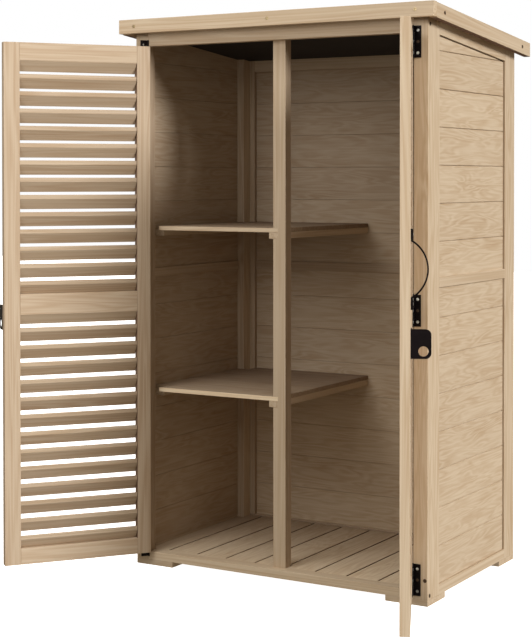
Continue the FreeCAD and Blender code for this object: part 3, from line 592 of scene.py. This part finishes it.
@surface
def bitumen_felt(tree):
    """Roofing felt, rolled and strewn with mineral grit of 1 mm: black and matt, with pale grains."""
    place = add(tree, "TexCoord").outputs["Object"]
    grit = add(tree, "TexVoronoi", links={"Vector": place, "Scale": 1000}).outputs
    worn = add(tree, "TexNoise", links={"Vector": place, "Scale": 9, "Detail": 3}).outputs["Fac"]
    grey = add(tree, "SeparateColor", links={"Color": grit["Color"]}).outputs[0]
    amount = add(tree, "Math", {"operation": "MULTIPLY"}, {0: grey, 1: worn}).outputs[0]
    colour = add(tree, "Mix", {"data_type": "RGBA"}, {0: amount, 6: linear("#1D1C1C"), 7: linear("#5B5A57")})
    bump = add(tree, "Bump", links={"Height": grit["Distance"], "Strength": 0.6, "Distance": 0.8*MM})
    return {"Base Color": colour.outputs[2], "Normal": bump.outputs[0], "Roughness": 0.9}


@surface
def lining_felt(tree):
    """Underlay of bitumen paper, rolled: a dull black sheet with soft creases some 60 mm apart."""
    crease, colour = clouded(tree, 16, "#141110", "#262120")
    bump = add(tree, "Bump", links={"Height": crease, "Strength": 0.4, "Distance": 2*MM})
    return {"Base Color": colour, "Normal": bump.outputs[0], "Roughness": 0.85}


@surface
def white_paper(tree):
    """Studio paper, coated and lit from behind: an even white without a visible horizon."""
    colour = clouded(tree, 0.13, "#F4F4F3", "#FBFBFA")[1]
    return {"Base Color": colour, "Roughness": 0.8, "Emission Color": (1, 1, 1, 1), "Emission Strength": 1.0}


def wood(name, parts, *nodes):
    """A piece of fir that stands for CAD nodes."""
    eased(piece(name, parts, planed_fir(), nodes))


def metal(name, parts, node):
    """A piece of black steel that stands for a CAD node."""
    eased(piece(name, parts, black_lacquer(), [node]))


def pair(name, parts, node):
    """A piece of fir on the right, and its mirror image on the left."""
    for side, own in both(parts):
        wood(f"{side}_{name}", own, f"{side}_{node}")


def hang(name, parts, node, make=wood):
    """A piece of the right door, and its mirror image on the left door, both opened. The right door
    takes painted light and the left door painted shade, a few steps of tone."""
    for side, own in both(parts):
        # Painted light on the right door, painted shade on the left door
        own = [opened(paler(part, DOORS[side]), f"{side}_door") for part in own]
        make(f"{side}_{name}", own, f"{side}_door_{node}")


# Settings

LENGTH = {"subtype": "DISTANCE", "unit": "LENGTH"}


class BoardSettings(PropertyGroup):
    """Sizes of planed and matched boards"""
    edge: FloatProperty(name="Edge", description="Rounding of a planed edge", default=1.0*MM, **LENGTH)
    joint: FloatProperty(name="Joint", description="Air between two matched boards", default=1.4*MM, **LENGTH)
    bevel: FloatProperty(name="V joint", description="Bevel of a matched board", default=1.2*MM, **LENGTH)


class LouvreSettings(PropertyGroup):
    """Section of a louvre slat"""
    fall: FloatProperty(name="Fall", description="Outer edge of a slat below its inner edge",
                        default=25.8*MM, **LENGTH)
    nose: FloatProperty(name="Nose", description="Upright height of a slat edge", default=11*MM, **LENGTH)


class LightSettings(PropertyGroup):
    """Lamps and background of the studio"""
    key: FloatProperty(name="Key light", description="Strength of the soft light from the right",
                       default=3.0)
    sky: FloatProperty(name="Sky light", description="Strength of the light from above and behind",
                       default=1.7)
    front: FloatProperty(name="Front light", description="Power of the soft lamps in front, in watts",
                         default=21)
    fill: FloatVectorProperty(name="Fill", description="Colour of the light from all around",
                              default=(0.27, 0.235, 0.19), size=3, subtype="COLOR")
    paper: FloatVectorProperty(name="Background", description="Colour behind the cabinet",
                               default=(1, 1, 1), size=3, subtype="COLOR")


# Carcass

def doubled(levels, gap):
    """Two rows close together, one on either side of each level, so that a cut there is sharp."""
    levels = np.ravel(levels)
    return np.sort(np.concatenate([levels - gap, levels + gap]))


def within(level, zones):
    """Whether each height lies inside one of the zones."""
    return np.any([(level > low) & (level < high) for low, high in zones], axis=0)


def barrel_zones():
    """Heights of the hinge barrels, from the pins."""
    return [(low[2] - BARREL_SPARE, high[2] + BARREL_SPARE) for low, high in boxes("right_hinge_pins")]


def barrel_stops():
    """Rows of an upright that lie round both ends of each barrel groove."""
    return doubled(barrel_zones(), 0.05*MM)


def clear_of_barrels(rings):
    """Pushes points near a hinge pin outwards until they clear its barrel, at the barrels' heights."""
    away = rings[..., :2] - PIN
    far = np.linalg.norm(away, axis=-1, keepdims=True)
    inside = (far < BARREL_ROOM) & within(rings[..., 2:3], barrel_zones())
    rings[..., :2] = np.where(inside, PIN + away/far*BARREL_ROOM, rings[..., :2])
    return rings


class CABINET_OT_posts(Operator):
    """The four corner posts and the foot blocks"""
    bl_idname = "cabinet.posts"
    bl_label = "Posts"

    def execute(self, context):
        edge = context.scene.cabinet_boards.edge
        low, high = box("right_front_stile")
        leg, rear = WALL_INNER + WALL_SKIN, low[1] + POST_DEPTH
        outline = softened(np.array([
            (high[0], high[1]), (leg, high[1]), (leg, rear), (low[0], rear), (low[0], low[1]),
            (high[0], low[1])]), edge)
        post = carried(stepped(outline), 2, low[2], high[2] + ROOF_SPARE, (edge, 0), barrel_stops(),
                       lambda rings: under_roof(clear_of_barrels(rings)))
        # Painted shade on the inner face of each front post
        pair("front_post", [painted_shade_beyond(post, 0, low[0] + ON_FACE, -1, POST_PAINTED_SHADE)], "front_stile")
        low, high = box("right_rear_stile")
        # Painted shade on the front face of each rear post
        pair("rear_post", [painted_shade_beyond(up_to_roof(low, high, 2, edge), 1, low[1] + ON_FACE, -1)], "rear_stile")
        wood("foot_blocks", [board(low, high, 0, edge) for low, high in boxes("feet")], "feet")
        return {"FINISHED"}


def matched(settings, inner, foot):
    """Outline of a matched board across its length, by depth and height: a groove below, a tongue
    above, and a bevel on each long edge that makes half of a V joint."""
    face, middle = inner + BOARD_THICK, inner + BOARD_THICK/2
    top = foot + BOARD_PITCH - settings.joint
    close = foot + BOARD_PITCH - 0.5*MM
    bevel, tongue, rise = settings.bevel, 2*MM, 4*MM
    groove = 1.1*tongue
    return np.array([
        (inner, foot + bevel/2), (inner + bevel/2, foot), (middle - groove, foot),
        (middle - groove, foot + rise), (middle + groove, foot + rise), (middle + groove, foot),
        (face - bevel, foot), (face, foot + bevel), (face, top - bevel), (face - bevel, top),
        (middle + tongue, top), (middle + tongue, top + rise), (middle - tongue, top + rise),
        (middle - tongue, close), (inner + bevel/2, close), (inner, close - bevel/2)])


def boarding(settings, node, along, face, start, end, stops=(), shape=under_roof):
    """Matched boards from an inner face outwards, one for each solid of a node, from below."""
    return [carried(matched(settings, face, foot), along, start, end, (0, 0), stops, shape)
            for foot in sorted(low[2] for low, high in boxes(node))]


class CABINET_OT_side_walls(Operator):
    """Matched boards of the side walls, with the rails round them"""
    bl_idname = "cabinet.side_walls"
    bl_label = "Side walls"

    def execute(self, context):
        settings = context.scene.cabinet_boards
        edge = settings.edge
        start, end = FRONT + POST_DEPTH, box("right_boards")[1][1]
        reach = box("right_rear_stile")[0][1] - WALL_GROOVE

        def rebated(rings):
            """Stops the outer part of the boards short of the posts and of the strip under the
            roof, which leaves a dark groove there."""
            outer = rings[..., 0] > WALL_INNER + WALL_SKIN
            rings[..., 1] = np.where(outer, np.clip(rings[..., 1], -reach, reach), rings[..., 1])
            level = np.minimum(rings[..., 2], roof(rings[..., 1]) - STRIP_HEIGHT - STRIP_GROOVE)
            rings[..., 2] = np.where(outer, level, rings[..., 2])
            return under_roof(rings)

        stops = np.linspace(0.5*MM - reach, reach - 0.5*MM, WALL_ROWS)
        parts = boarding(settings, "right_boards", 1, WALL_INNER, start, end, stops, rebated)
        # Painted shade on the inner faces of the wall boards
        pair("wall_boards", [painted_shade_beyond(part, 0, WALL_INNER + BOARD_BACK, -1) for part in parts], "boards")
        pair("side_bottom_rail", [board(*box("right_bottom_rail"), 1, edge)], "bottom_rail")
        low, high = box("right_mid_rail")
        belt = board((WALL_INNER - BELT_THICK, start, low[2]), (WALL_INNER, high[1], high[2]), 1, edge)
        # Painted shade on the belt inside the wall
        pair("side_mid_rail", [board(low, high, 1, edge), paler(belt, -PAINTED_SHADE)], "mid_rail")
        low, high = box("right_top_rail")
        low[2], high[2] = -STRIP_HEIGHT, 0
        pair("side_top_rail", [board(low, high, 1, edge, along_roof)], "top_rail")
        return {"FINISHED"}


class CABINET_OT_back_wall(Operator):
    """Matched boards of the back wall, with its rails and battens"""
    bl_idname = "cabinet.back_wall"
    bl_label = "Back wall"

    def execute(self, context):
        settings = context.scene.cabinet_boards
        edge = settings.edge
        low, high = box("back_boards")
        face = low[1]
        # Painted shade on the inner faces of the back boards, darker towards the top
        parts = [painted_shade_beyond(part, 1, face + BOARD_BACK, -1, BACK_PAINTED_SHADE)
                 for part in boarding(settings, "back_boards", 0, face, low[0], high[0])]
        wood("rear_boards", [painted_shade_ramp(part, *BACK_SHADE_RAMP, 2) for part in parts], "back_boards")
        low, high = box("back_bottom_rail")
        # Painted shade on the front face of the back bottom rail
        rail = painted_shade_beyond(board(low, high, 0, edge), 1, low[1] + edge, -1, 2*PAINTED_SHADE)
        wood("rear_bottom_rail", [rail], "back_bottom_rail")
        low, high = box("back_top_rail")
        wood("rear_top_rail", [up_to_roof(low, high, 0, edge)], "back_top_rail")
        foot, top = (corner[2] for corner in box("right_mid_rail"))
        belt = board((low[0], face - BELT_THICK, foot), (high[0], face, top), 0, edge)
        parts = [up_to_roof(low, high, 2, edge) for low, high in boxes("back_battens")]
        # Painted shade on the battens and on the belt inside the back wall
        wood("rear_battens", [paler(part, -PAINTED_SHADE) for part in (*parts, belt)], "back_battens")
        return {"FINISHED"}


class CABINET_OT_front_frame(Operator):
    """The rails over and under the doors, and the middle post"""
    bl_idname = "cabinet.front_frame"
    bl_label = "Front frame"

    def execute(self, context):
        edge = context.scene.cabinet_boards.edge
        wood("head_rail", [up_to_roof(*box("front_top_rail"), 0, edge)], "front_top_rail")
        sill = board(*box("front_bottom_rail"), 0, edge)
        # Painted light on the sill
        wood("sill_rail", [paler(sill, SILL_PALE)], "front_bottom_rail")
        low, high = box("centre_post")
        notches = [(box(f"{shelf}_shelf_bearer")[0][2], box(f"{shelf}_shelf_boards")[1][2])
                   for shelf in SHELVES]

        def notched(rings):
            """Moves the left face to the right where a shelf is let in, and ends at the roof."""
            let_in = np.maximum(rings[..., 0], NOTCH_FACE)
            rings[..., 0] = np.where(within(rings[..., 2], notches), let_in, rings[..., 0])
            return under_roof(rings)

        post = up_to_roof(low, high, 2, edge, notched, doubled(notches, 0.02*MM))
        # Painted shade on the right face of the middle post
        wood("middle_post", [painted_shade_beyond(post, 0, high[0] - ON_FACE, 1)], "centre_post")
        return {"FINISHED"}


class CABINET_OT_floor(Operator):
    """Floor boards, lapped so that no light comes through, and the bearers under them"""
    bl_idname = "cabinet.floor"
    bl_label = "Floor"

    def execute(self, context):
        edge = context.scene.cabinet_boards.edge
        parts = []
        for low, high in boxes("floor_slats"):
            left, right, step = low[0] + FLOOR_TRIM, high[0] - FLOOR_TRIM, high[2] - FLOOR_STEP
            lap_left, lap_right = low[0] - FLOOR_LAP, high[0] + FLOOR_LAP
            outline = softened(np.array([
                (right, high[2]), (left, high[2]), (left, step), (lap_left, step), (lap_left, low[2]),
                (lap_right, low[2]), (lap_right, step), (right, step)]), edge)
            part = carried(outline, 1, low[1], high[1], (edge, edge))
            # Painted light, lighter towards the right; painted shade in the joints below the top edge, and
            # darker towards the back
            part = painted_shade_beyond(paler(part, FLOOR_PALE + FLOOR_SLOPE*low[0]), 2, high[2] - edge/2, -1, SHADED)
            parts.append(painted_shade_ramp(part, FRONT, BACK, FLOOR_SHADE_RAMP))
        wood("floor_boards", parts, "floor_slats")
        wood("floor_joists", [board(low, high, 0, edge) for low, high in boxes("floor_bearers")],
             "floor_bearers")
        return {"FINISHED"}


class CABINET_OT_shelves(Operator):
    """Two shelves of loose boards in the left half, with their bearers"""
    bl_idname = "cabinet.shelves"
    bl_label = "Shelves"

    def execute(self, context):
        edge = context.scene.cabinet_boards.edge
        for shelf, (pale, dark) in SHELVES.items():
            found = boxes(f"{shelf}_shelf_boards")
            front = min(low[1] for low, high in found)
            # Painted light on the shelf; painted shade behind its front edge, darker towards the back
            parts = [paler(board(low, high, 0, edge), pale) for low, high in found]
            parts = [painted_shade_beyond(part, 1, front + edge/2, 1, dark) for part in parts]
            wood(f"{shelf}_shelf", [painted_shade_ramp(part, front, BACK, SHELF_SHADE_RAMP) for part in parts],
                 f"{shelf}_shelf_boards")
            rests = f"{shelf}_shelf_bearer", f"{shelf}_shelf_cleat"
            wood(f"{shelf}_shelf_rests", [board(*box(rest), 1, edge) for rest in rests], *rests)
        return {"FINISHED"}


class CABINET_OT_roof(Operator):
    """Roof boards with lining and felt, and the fascia boards round them"""
    bl_idname = "cabinet.roof"
    bl_label = "Roof"

    def execute(self, context):
        edge = context.scene.cabinet_boards.edge
        wood("roof_boards", [
            board((*low[:2], LINING_TOP), (*high[:2], DECK_TOP), 0, edge, along_roof)
            for low, high in boxes("roof_deck")], "roof_deck")
        lining = board((-WALL_OUTER, FRONT, 0), (WALL_OUTER, BACK, LINING_TOP), 0, LINING_EDGE, along_roof)
        eased(piece("roof_lining", [lining], lining_felt(), ["roof_underlay"]))
        low, high = box("roof_underlay")
        felt = board((*low[:2], DECK_TOP), (*high[:2], FELT_TOP), 0, FELT_EDGE, along_roof)
        eased(piece("felt_sheet", [felt], bitumen_felt(), ["roof_felt"]))
        # Painted light on the front fascia
        wood("front_fascia", [paler(board(*box("fascia_front"), 0, edge), FASCIA_PALE)], "fascia_front")
        low, high = box("fascia_right")
        low[2], high[2] = FASCIA_FOOT, FASCIA_TOP
        # Painted shade on the underside of each side fascia
        side = painted_shade_beyond(board(low, high, 1, edge), 2, FASCIA_FOOT + ON_FACE, -1, SHADED)
        for way, parts in both([side._replace(points=along_roof(side.points))]):
            wood(f"{way}_fascia", parts, f"fascia_{way}")
        return {"FINISHED"}


# Doors

class CABINET_OT_door_frames(Operator):
    """Uprights and rails of both doors"""
    bl_idname = "cabinet.door_frames"
    bl_label = "Door frames"

    def execute(self, context):
        edge = context.scene.cabinet_boards.edge
        for node, along in (("free_stile", 2), ("top_rail", 0), ("mid_rail", 0), ("bottom_rail", 0)):
            low, high = boxes(f"right_door_{node}")[0]
            hang(f"door_{node}_board", [board(low, high, along, edge)], node)
        low, high = boxes("right_door_hinge_stile")[0]
        stops = barrel_stops()
        stops = stops[(stops > low[2] + edge) & (stops < high[2] - edge)]
        outline = stepped(rounded(low[:2], high[:2], edge))
        upright = carried(outline, 2, low[2], high[2], (edge, edge), stops, clear_of_barrels)
        # Painted shade on the face of the hinge upright that the slats meet
        hang("door_hinge_stile_board", [painted_shade_beyond(upright, 0, low[0] + ON_FACE, -1, 2*PAINTED_SHADE)], "hinge_stile")
        return {"FINISHED"}


class CABINET_OT_louvres(Operator):
    """The slanted slats of both doors"""
    bl_idname = "cabinet.louvres"
    bl_label = "Louvres"

    def execute(self, context):
        settings = context.scene.cabinet_louvres
        top, middle, bottom = (boxes(f"right_door_{rail}_rail")[0] for rail in ("top", "mid", "bottom"))
        inner, outer = top[1][1], top[0][1] + SLAT_INSET
        start, end = top[0][0], top[1][0]
        parts = []
        for low, high, (first, pitch) in ((middle[1][2], top[0][2], UPPER_LOUVRES),
                                          (bottom[1][2], middle[0][2], LOWER_LOUVRES)):
            for nose in np.arange(first, low, -pitch):
                foot = nose - settings.fall - settings.nose
                outline = clipped(np.array([
                    (outer, nose - settings.fall), (outer, foot + SLAT_CUT), (outer + SLAT_CUT, foot),
                    (inner, nose - settings.nose), (inner, nose - SLAT_CUT), (inner - SLAT_CUT, nose)]),
                    low, high)
                if len(outline) > 2:
                    outline = softened(outline, SLAT_EDGE)
                    centre = (outline.min(0) + outline.max(0))/2
                    tenon = centre + 0.5*(outline - centre)
                    parts.append(carried(outline, 0, start, end - SLAT_SHORT, (0, 0)))
                    parts.append(carried(tenon, 0, end - TENON_LENGTH, end, (0, 0)))
        hang("door_louvres", parts, "slats")
        return {"FINISHED"}


# Fittings

def pierced(outline, centre, radius, rows):
    """Rows of points between a round hole and an outline. Each row holds a share of the way from
    the hole to the outline, a distance added to that, and a height."""
    angles = np.arctan2(*(outline - centre).T[::-1])
    circle = centre + radius*np.stack([np.cos(angles), np.sin(angles)], -1)
    way = outline - circle
    unit = way/np.linalg.norm(way, axis=1, keepdims=True)
    flat = np.stack([circle + share*way + extra*unit for share, extra, height in rows])
    heights = np.broadcast_to(np.array([row[2] for row in rows])[:, None, None], (*flat.shape[:2], 1))
    return np.concatenate([flat, heights], -1)


def lathe(profile, centre, steps=20):
    """Rows of radius and height turned about an upright line."""
    angles = np.linspace(0, 2*math.pi, steps, endpoint=False)
    radius, height = np.asarray(profile, float).T
    rings = np.stack([np.outer(radius, np.cos(angles)), np.outer(radius, np.sin(angles)),
                      np.repeat(height[:, None], steps, 1)], -1)
    return skin(rings + (*centre, 0))


def hinge_leaf(side, level, own):
    """One leaf of a hinge, drawn on the right post (side 1) or the shut right door (side -1): a
    plate with three holes, and its own knuckles about the pin."""
    face = FRONT if side > 0 else boxes("right_door_free_stile")[0][0][1]
    field, knuckle = HINGE_HEIGHT/3, HINGE_HEIGHT/5
    parts = []
    for step in (-1, 0, 1):
        foot = level + (step - 0.5)*field
        outline = evenly(rounded((LEAF_NEAR, foot), (LEAF_FAR, foot + field), 0.02*MM, 2), 40)
        # From the hole to the rim: the countersink, the flat face and the bevel
        rows = ((0, 0, 0), (0, 0, LEAF_THICK*0.6), (0, 1.3*MM, LEAF_THICK), (1, -SOFT, LEAF_THICK),
                (1, 0, LEAF_THICK - SOFT), (1, 0, 0))
        flat = pierced(outline, np.array((HOLE_REACH, level + step*HOLE_STEP)), HOLE_RADIUS, rows)
        rings = np.stack([PIN[0] + side*flat[..., 0], face - flat[..., 2], flat[..., 1]], -1)
        parts.append(skin(rings, closed=True))
    for k in own:
        foot = level - HINGE_HEIGHT/2 + k*knuckle + KNUCKLE_GAP/2
        top = foot + knuckle - KNUCKLE_GAP
        ends = sorted(PIN[0] + side*reach for reach in LEAF_WEB)
        parts.append(board((ends[0], face - LEAF_THICK, foot), (ends[1], face, top), 2, 0.2*MM))
        r = KNUCKLE_RADIUS
        parts.append(lathe([(r*0.5, foot), (r - SOFT, foot), (r, foot + SOFT), (r, top - SOFT),
                            (r - SOFT, top), (r*0.5, top)], PIN))
    return parts


class CABINET_OT_hinges(Operator):
    """Black butt hinges with their pins, three to a door"""
    bl_idname = "cabinet.hinges"
    bl_label = "Hinges"

    def execute(self, context):
        found = boxes("right_hinge_pins")
        levels = [(low[2] + high[2])/2 for low, high in found]
        post = [part for level in levels for part in hinge_leaf(1, level, (0, 2, 4))]
        door = [part for level in levels for part in hinge_leaf(-1, level, (1, 3))]
        pins = []
        for low, high in found:
            foot, top, neck = low[2], high[2], 1.2*MM
            pins.append(lathe([
                (0.6*MM, foot), (1.8*MM, foot + 0.3*MM), (PIN_HEAD, foot + 0.8*MM), (PIN_HEAD, foot + neck),
                (PIN_RADIUS, foot + neck), (PIN_RADIUS, top - neck), (PIN_HEAD, top - neck),
                (PIN_HEAD, top - 0.8*MM), (1.8*MM, top - 0.3*MM), (0.6*MM, top)], PIN))
        for (side, leaves), (side, own) in zip(both(post), both(pins)):
            metal(f"{side}_post_hinge_leaf", leaves, f"{side}_post_hinge_leaves")
            metal(f"{side}_hinge_pin", own, f"{side}_hinge_pins")
        hang("door_hinge_leaf", door, "hinge_leaves", metal)
        return {"FINISHED"}


class CABINET_OT_handles(Operator):
    """Bow handles: a strip bent to an arc between two flat ends"""
    bl_idname = "cabinet.handles"
    bl_label = "Handles"

    def execute(self, context):
        low, high = boxes("right_door_handle")[0]
        middle, half = (low[2] + high[2])/2, (high[2] - low[2])/2
        span, rise = half - HANDLE_FOOT, HANDLE_RISE - FOOT_THICK
        radius = (span**2 + rise**2)/(2*rise)
        depth = radius - HANDLE_RISE

        def strip_edge(radius, limit, foot):
            """One edge of the strip by distance from the door and height: an arc about a centre
            behind the door, and a straight foot at each end."""
            angle = np.linspace(-1, 1, 41)*limit
            arc = np.stack([radius*np.cos(angle) - depth, radius*np.sin(angle)], -1)
            end = np.stack([foot, np.array((0, 0.6*MM, 2*MM)) - half], -1)
            return np.concatenate([end, arc, end[::-1]*(1, -1)])

        outer = strip_edge(radius, math.asin(span/radius), FOOT_THICK*np.array((0.6, 0.93, 1)))
        radius -= BOW_THICK
        inner = strip_edge(radius, math.acos(depth/radius), np.zeros(3))
        # Section of the strip: across its width and from the inner to the outer edge
        across, through = np.array([
            (0.04, 0), (0, 0.12), (0, 0.88), (0.04, 1), (0.96, 1), (1, 0.88), (1, 0.12), (0.96, 0)]).T
        way = inner[:, None] + (outer - inner)[:, None]*through[None, :, None]
        rings = np.stack([np.broadcast_to(low[0] + across*(high[0] - low[0]), way.shape[:2]),
                          high[1] - way[..., 0], middle + way[..., 1]], -1)
        hang("door_bow_handle", [skin(rings, 2)], "handle", metal)
        return {"FINISHED"}


class CABINET_OT_hasps(Operator):
    """Hasps: a flange on the door and an eye plate that stands out from it"""
    bl_idname = "cabinet.hasps"
    bl_label = "Hasps"

    def execute(self, context):
        low, high = boxes("right_door_hasp")[0]
        face, foot, top = high[1], low[2], high[2]
        reach = face - low[1]
        corner = np.radians(np.linspace(0, 90, 7))
        arc = np.stack([np.sin(corner), 1 - np.cos(corner)], -1)*HASP_CORNER
        outline = evenly(np.concatenate([
            [(0.0, foot)], (reach - HASP_CORNER, foot) + arc,
            (reach, top - HASP_CORNER) + np.stack([-arc[:, 1], arc[:, 0]], -1), [(0.0, top)]]), 72)
        # From the eye to the outline: a rim round the eye, the panel, and a rim along the edge
        rows = ((0, 0, 0), (0, 0, HASP_THICK - 0.4*MM), (0, 0.4*MM, HASP_THICK), (0, 1.5*MM, HASP_THICK),
                (0, 2.0*MM, HASP_PANEL), (1, -3.9*MM, HASP_PANEL), (1, -3.3*MM, HASP_THICK),
                (1, -0.6*MM, HASP_THICK), (1, 0, HASP_THICK - 0.6*MM), (1, 0, 0.5*MM), (1, -0.5*MM, 0))
        flat = pierced(outline, np.array((EYE_REACH, foot + EYE_RISE)), EYE_RADIUS, rows)
        rings = np.stack([low[0] + flat[..., 2], face - flat[..., 0], flat[..., 1]], -1)
        eye = skin(rings, closed=True)
        flange = board((low[0] + HASP_THICK/2, face - HASP_THICK, foot), (high[0], face, top), 2, 0.5*MM)
        hang("door_hasp_plate", [eye, flange], "hasp", metal)
        return {"FINISHED"}


def screw_head(centre, axis, radius=SCREW_HEAD):
    """A low dome with a crossed recess. Its height falls with the square of the distance from the
    middle, and drops where one coordinate is small and the other is inside the recess."""
    angles = np.linspace(0, 2*math.pi, 24, endpoint=False)
    shares = np.array((1, 1, 0.93, 0.72, 0.5, 0.34, 0.2, 0.08))
    x, y = np.outer(shares, np.cos(angles))*radius, np.outer(shares, np.sin(angles))*radius
    height = HEAD_HEIGHT*(1 - 0.4*shares[:, None]**2) + 0*x
    narrow, wide = np.minimum(abs(x), abs(y)), np.maximum(abs(x), abs(y))
    arm = np.clip((RECESS_HALF - narrow)/(0.25*MM), 0, 1)*np.clip((RECESS_REACH - wide)/(0.3*MM), 0, 1)
    height -= RECESS_DEPTH*arm
    height[0] = -0.2*MM
    side = np.cross(axis, (0, 0, 1))
    up = np.cross(side, axis)
    return skin(centre + x[..., None]*side + y[..., None]*up + height[..., None]*axis)


def screws(node):
    """Head centre on its face and outward axis of each screw of a node, from the CAD solids: a
    screw lies along its longest side, and its head is where its points stand furthest from it."""
    found = []
    for points in solids(node):
        along = int(np.argmax(np.ptp(points, axis=0)))
        middle = (points.min(0) + points.max(0))/2
        across = [k for k in range(3) if k != along]
        wide = points[np.linalg.norm((points - middle)[:, across], axis=1) > 3*MM]
        inner, outer = wide[:, along].min(), wide[:, along].max()
        way = 1.0 if (inner + outer)/2 > middle[along] else -1.0
        centre, axis = middle.copy(), np.zeros(3)
        centre[along] = inner if way > 0 else outer
        axis[along] = way
        found.append((centre, axis))
    return found


class CABINET_OT_screws(Operator):
    """Heads of the screws that show"""
    bl_idname = "cabinet.screws"
    bl_label = "Screws"

    def execute(self, context):
        groups = {"post_leaf_screw_heads": [], "fascia_screw_heads": [], "frame_screw_heads": []}
        found = [(centre, axis, abs(centre[1] - FRONT + LEAF_THICK) < 0.3*MM)
                 for centre, axis in screws("frame_screws")]
        levels = sorted({round(centre[2], 3) for centre, axis, in_leaf in found if in_leaf})
        for centre, axis, in_leaf in found:
            if in_leaf:
                # Painted shade: the middle screw of each leaf is drawn in the dark browned steel
                middle = round(centre[2], 3) in levels[1::3]
                name, radius = "frame_screw_heads" if middle else "post_leaf_screw_heads", SCREW_HEAD
            elif centre[1] < FRONT - FASCIA_CLEAR and axis[1] < 0:
                name, radius = "fascia_screw_heads", FASCIA_HEAD
            else:
                name, radius = "frame_screw_heads", FRAME_HEAD
            groups[name].append(screw_head(centre, axis, radius))
        for (name, heads), coat in zip(groups.items(), (zinc_plate(), yellow_zinc(), browned_steel())):
            piece(name, heads, coat, ["frame_screws"])
        for side in DOORS:
            node = f"{side}_door_screws"
            heads = [opened(screw_head(*screw), f"{side}_door") for screw in screws(node)]
            piece(f"{side}_door_screw_heads", heads, zinc_plate(), [node])
        return {"FINISHED"}


# Stage

def placed(name, data, place, away):
    """An object that stands at a place, with its back turned to a direction."""
    item = bpy.data.objects.new(name, data)
    bpy.context.scene.collection.objects.link(item)
    item.matrix_world = Matrix.Translation(place) @ away.to_track_quat("Z", "Y").to_matrix().to_4x4()
    return item


def compass(azimuth, height):
    """Direction that lies so many degrees round from the front towards the right, and so many up."""
    azimuth, height = math.radians(azimuth), math.radians(height)
    return Vector((math.sin(azimuth)*math.cos(height), -math.cos(azimuth)*math.cos(height), math.sin(height)))


class CABINET_OT_stage(Operator):
    """Camera, soft light and a plain pale floor"""
    bl_idname = "cabinet.stage"
    bl_label = "Stage"

    def execute(self, context):
        scene = context.scene
        settings = scene.cabinet_light
        scene.view_settings.view_transform = "Standard"
        camera = bpy.data.cameras.new("camera")
        camera.lens, camera.sensor_width, camera.clip_end = LENS, SENSOR, CAMERA_REACH
        camera.shift_x, camera.shift_y = CAMERA_SHIFT
        scene.camera = placed("camera", camera, CAMERA_PLACE, compass(*CAMERA_ANGLES))

        for name, azimuth, height, width, energy in (
                ("key_light", 77, 21, 17, settings.key), ("top_light", 0, 65, 45, 0.42*settings.sky),
                ("back_light", 222, 32, 60, 0.9*settings.sky)):
            lamp = bpy.data.lights.new(name, "SUN")
            lamp.energy, lamp.angle = energy, math.radians(width)
            placed(name, lamp, (0, 0, 0), compass(azimuth, height))
        middle = Vector((0, 0, 0.7))
        for name, place, size, share in (("near_light", (-0.45, -2.0, 1.8), 1.0, 0.6),
                                         ("far_light", (0.1, -3.2, 1.5), 1.4, 0.4)):
            lamp = bpy.data.lights.new(name, "AREA")
            lamp.shape, lamp.size, lamp.energy = "DISK", size, share*settings.front
            placed(name, lamp, place, Vector(place) - middle)

        world = bpy.data.worlds.new("studio")
        scene.world = world
        world.use_nodes = True
        tree = world.node_tree
        tree.nodes.clear()
        light = add(tree, "Background", links={"Color": (*settings.fill, 1)})
        paper = add(tree, "Background", links={"Color": (*settings.paper, 1)})
        ray = add(tree, "LightPath").outputs["Is Camera Ray"]
        mixed = add(tree, "MixShader", links={0: ray, 1: light.outputs[0], 2: paper.outputs[0]})
        add(tree, "OutputWorld", links={"Surface": mixed.outputs[0]})

        mesh = bpy.data.meshes.new("studio_floor")
        corners = 12.0*np.array([(-1, -1, 0), (1, -1, 0), (1, 1, 0), (-1, 1, 0)])
        mesh.from_pydata(corners, [], [(0, 1, 2, 3)])
        mesh.materials.append(white_paper())
        ground = bpy.data.objects.new("studio_floor", mesh)
        scene.collection.objects.link(ground)
        ground.visible_diffuse = False
        ground.visible_glossy = False
        return {"FINISHED"}


class CABINET_PT_panel(Panel):
    """The steps that dress the cabinet, in order"""
    bl_idname = "CABINET_PT_panel"
    bl_label = "Garden cabinet"
    bl_space_type = "VIEW_3D"
    bl_region_type = "UI"
    bl_category = "Cabinet"

    def draw(self, context):
        for group in GROUPS:
            settings = getattr(context.scene, group)
            for name in settings.__annotations__:
                self.layout.prop(settings, name)
        for step in STEPS:
            self.layout.operator(step.bl_idname)


STEPS = (
    CABINET_OT_stage, CABINET_OT_posts, CABINET_OT_side_walls, CABINET_OT_back_wall,
    CABINET_OT_front_frame, CABINET_OT_floor, CABINET_OT_shelves, CABINET_OT_roof,
    CABINET_OT_door_frames, CABINET_OT_louvres, CABINET_OT_hinges, CABINET_OT_handles,
    CABINET_OT_hasps, CABINET_OT_screws)
GROUPS = {"cabinet_boards": BoardSettings, "cabinet_louvres": LouvreSettings, "cabinet_light": LightSettings}


def register():
    for cls in (*GROUPS.values(), *STEPS, CABINET_PT_panel):
        bpy.utils.register_class(cls)
    for name, group in GROUPS.items():
        setattr(bpy.types.Scene, name, PointerProperty(type=group))


def unregister():
    for name in GROUPS:
        delattr(bpy.types.Scene, name)
    for cls in (CABINET_PT_panel, *reversed(STEPS), *reversed(GROUPS.values())):
        bpy.utils.unregister_class(cls)


def main():
    register()
    for step in STEPS:
        group, name = step.bl_idname.split(".")
        getattr(getattr(bpy.ops, group), name)()


if __name__ == "__main__":
    main()
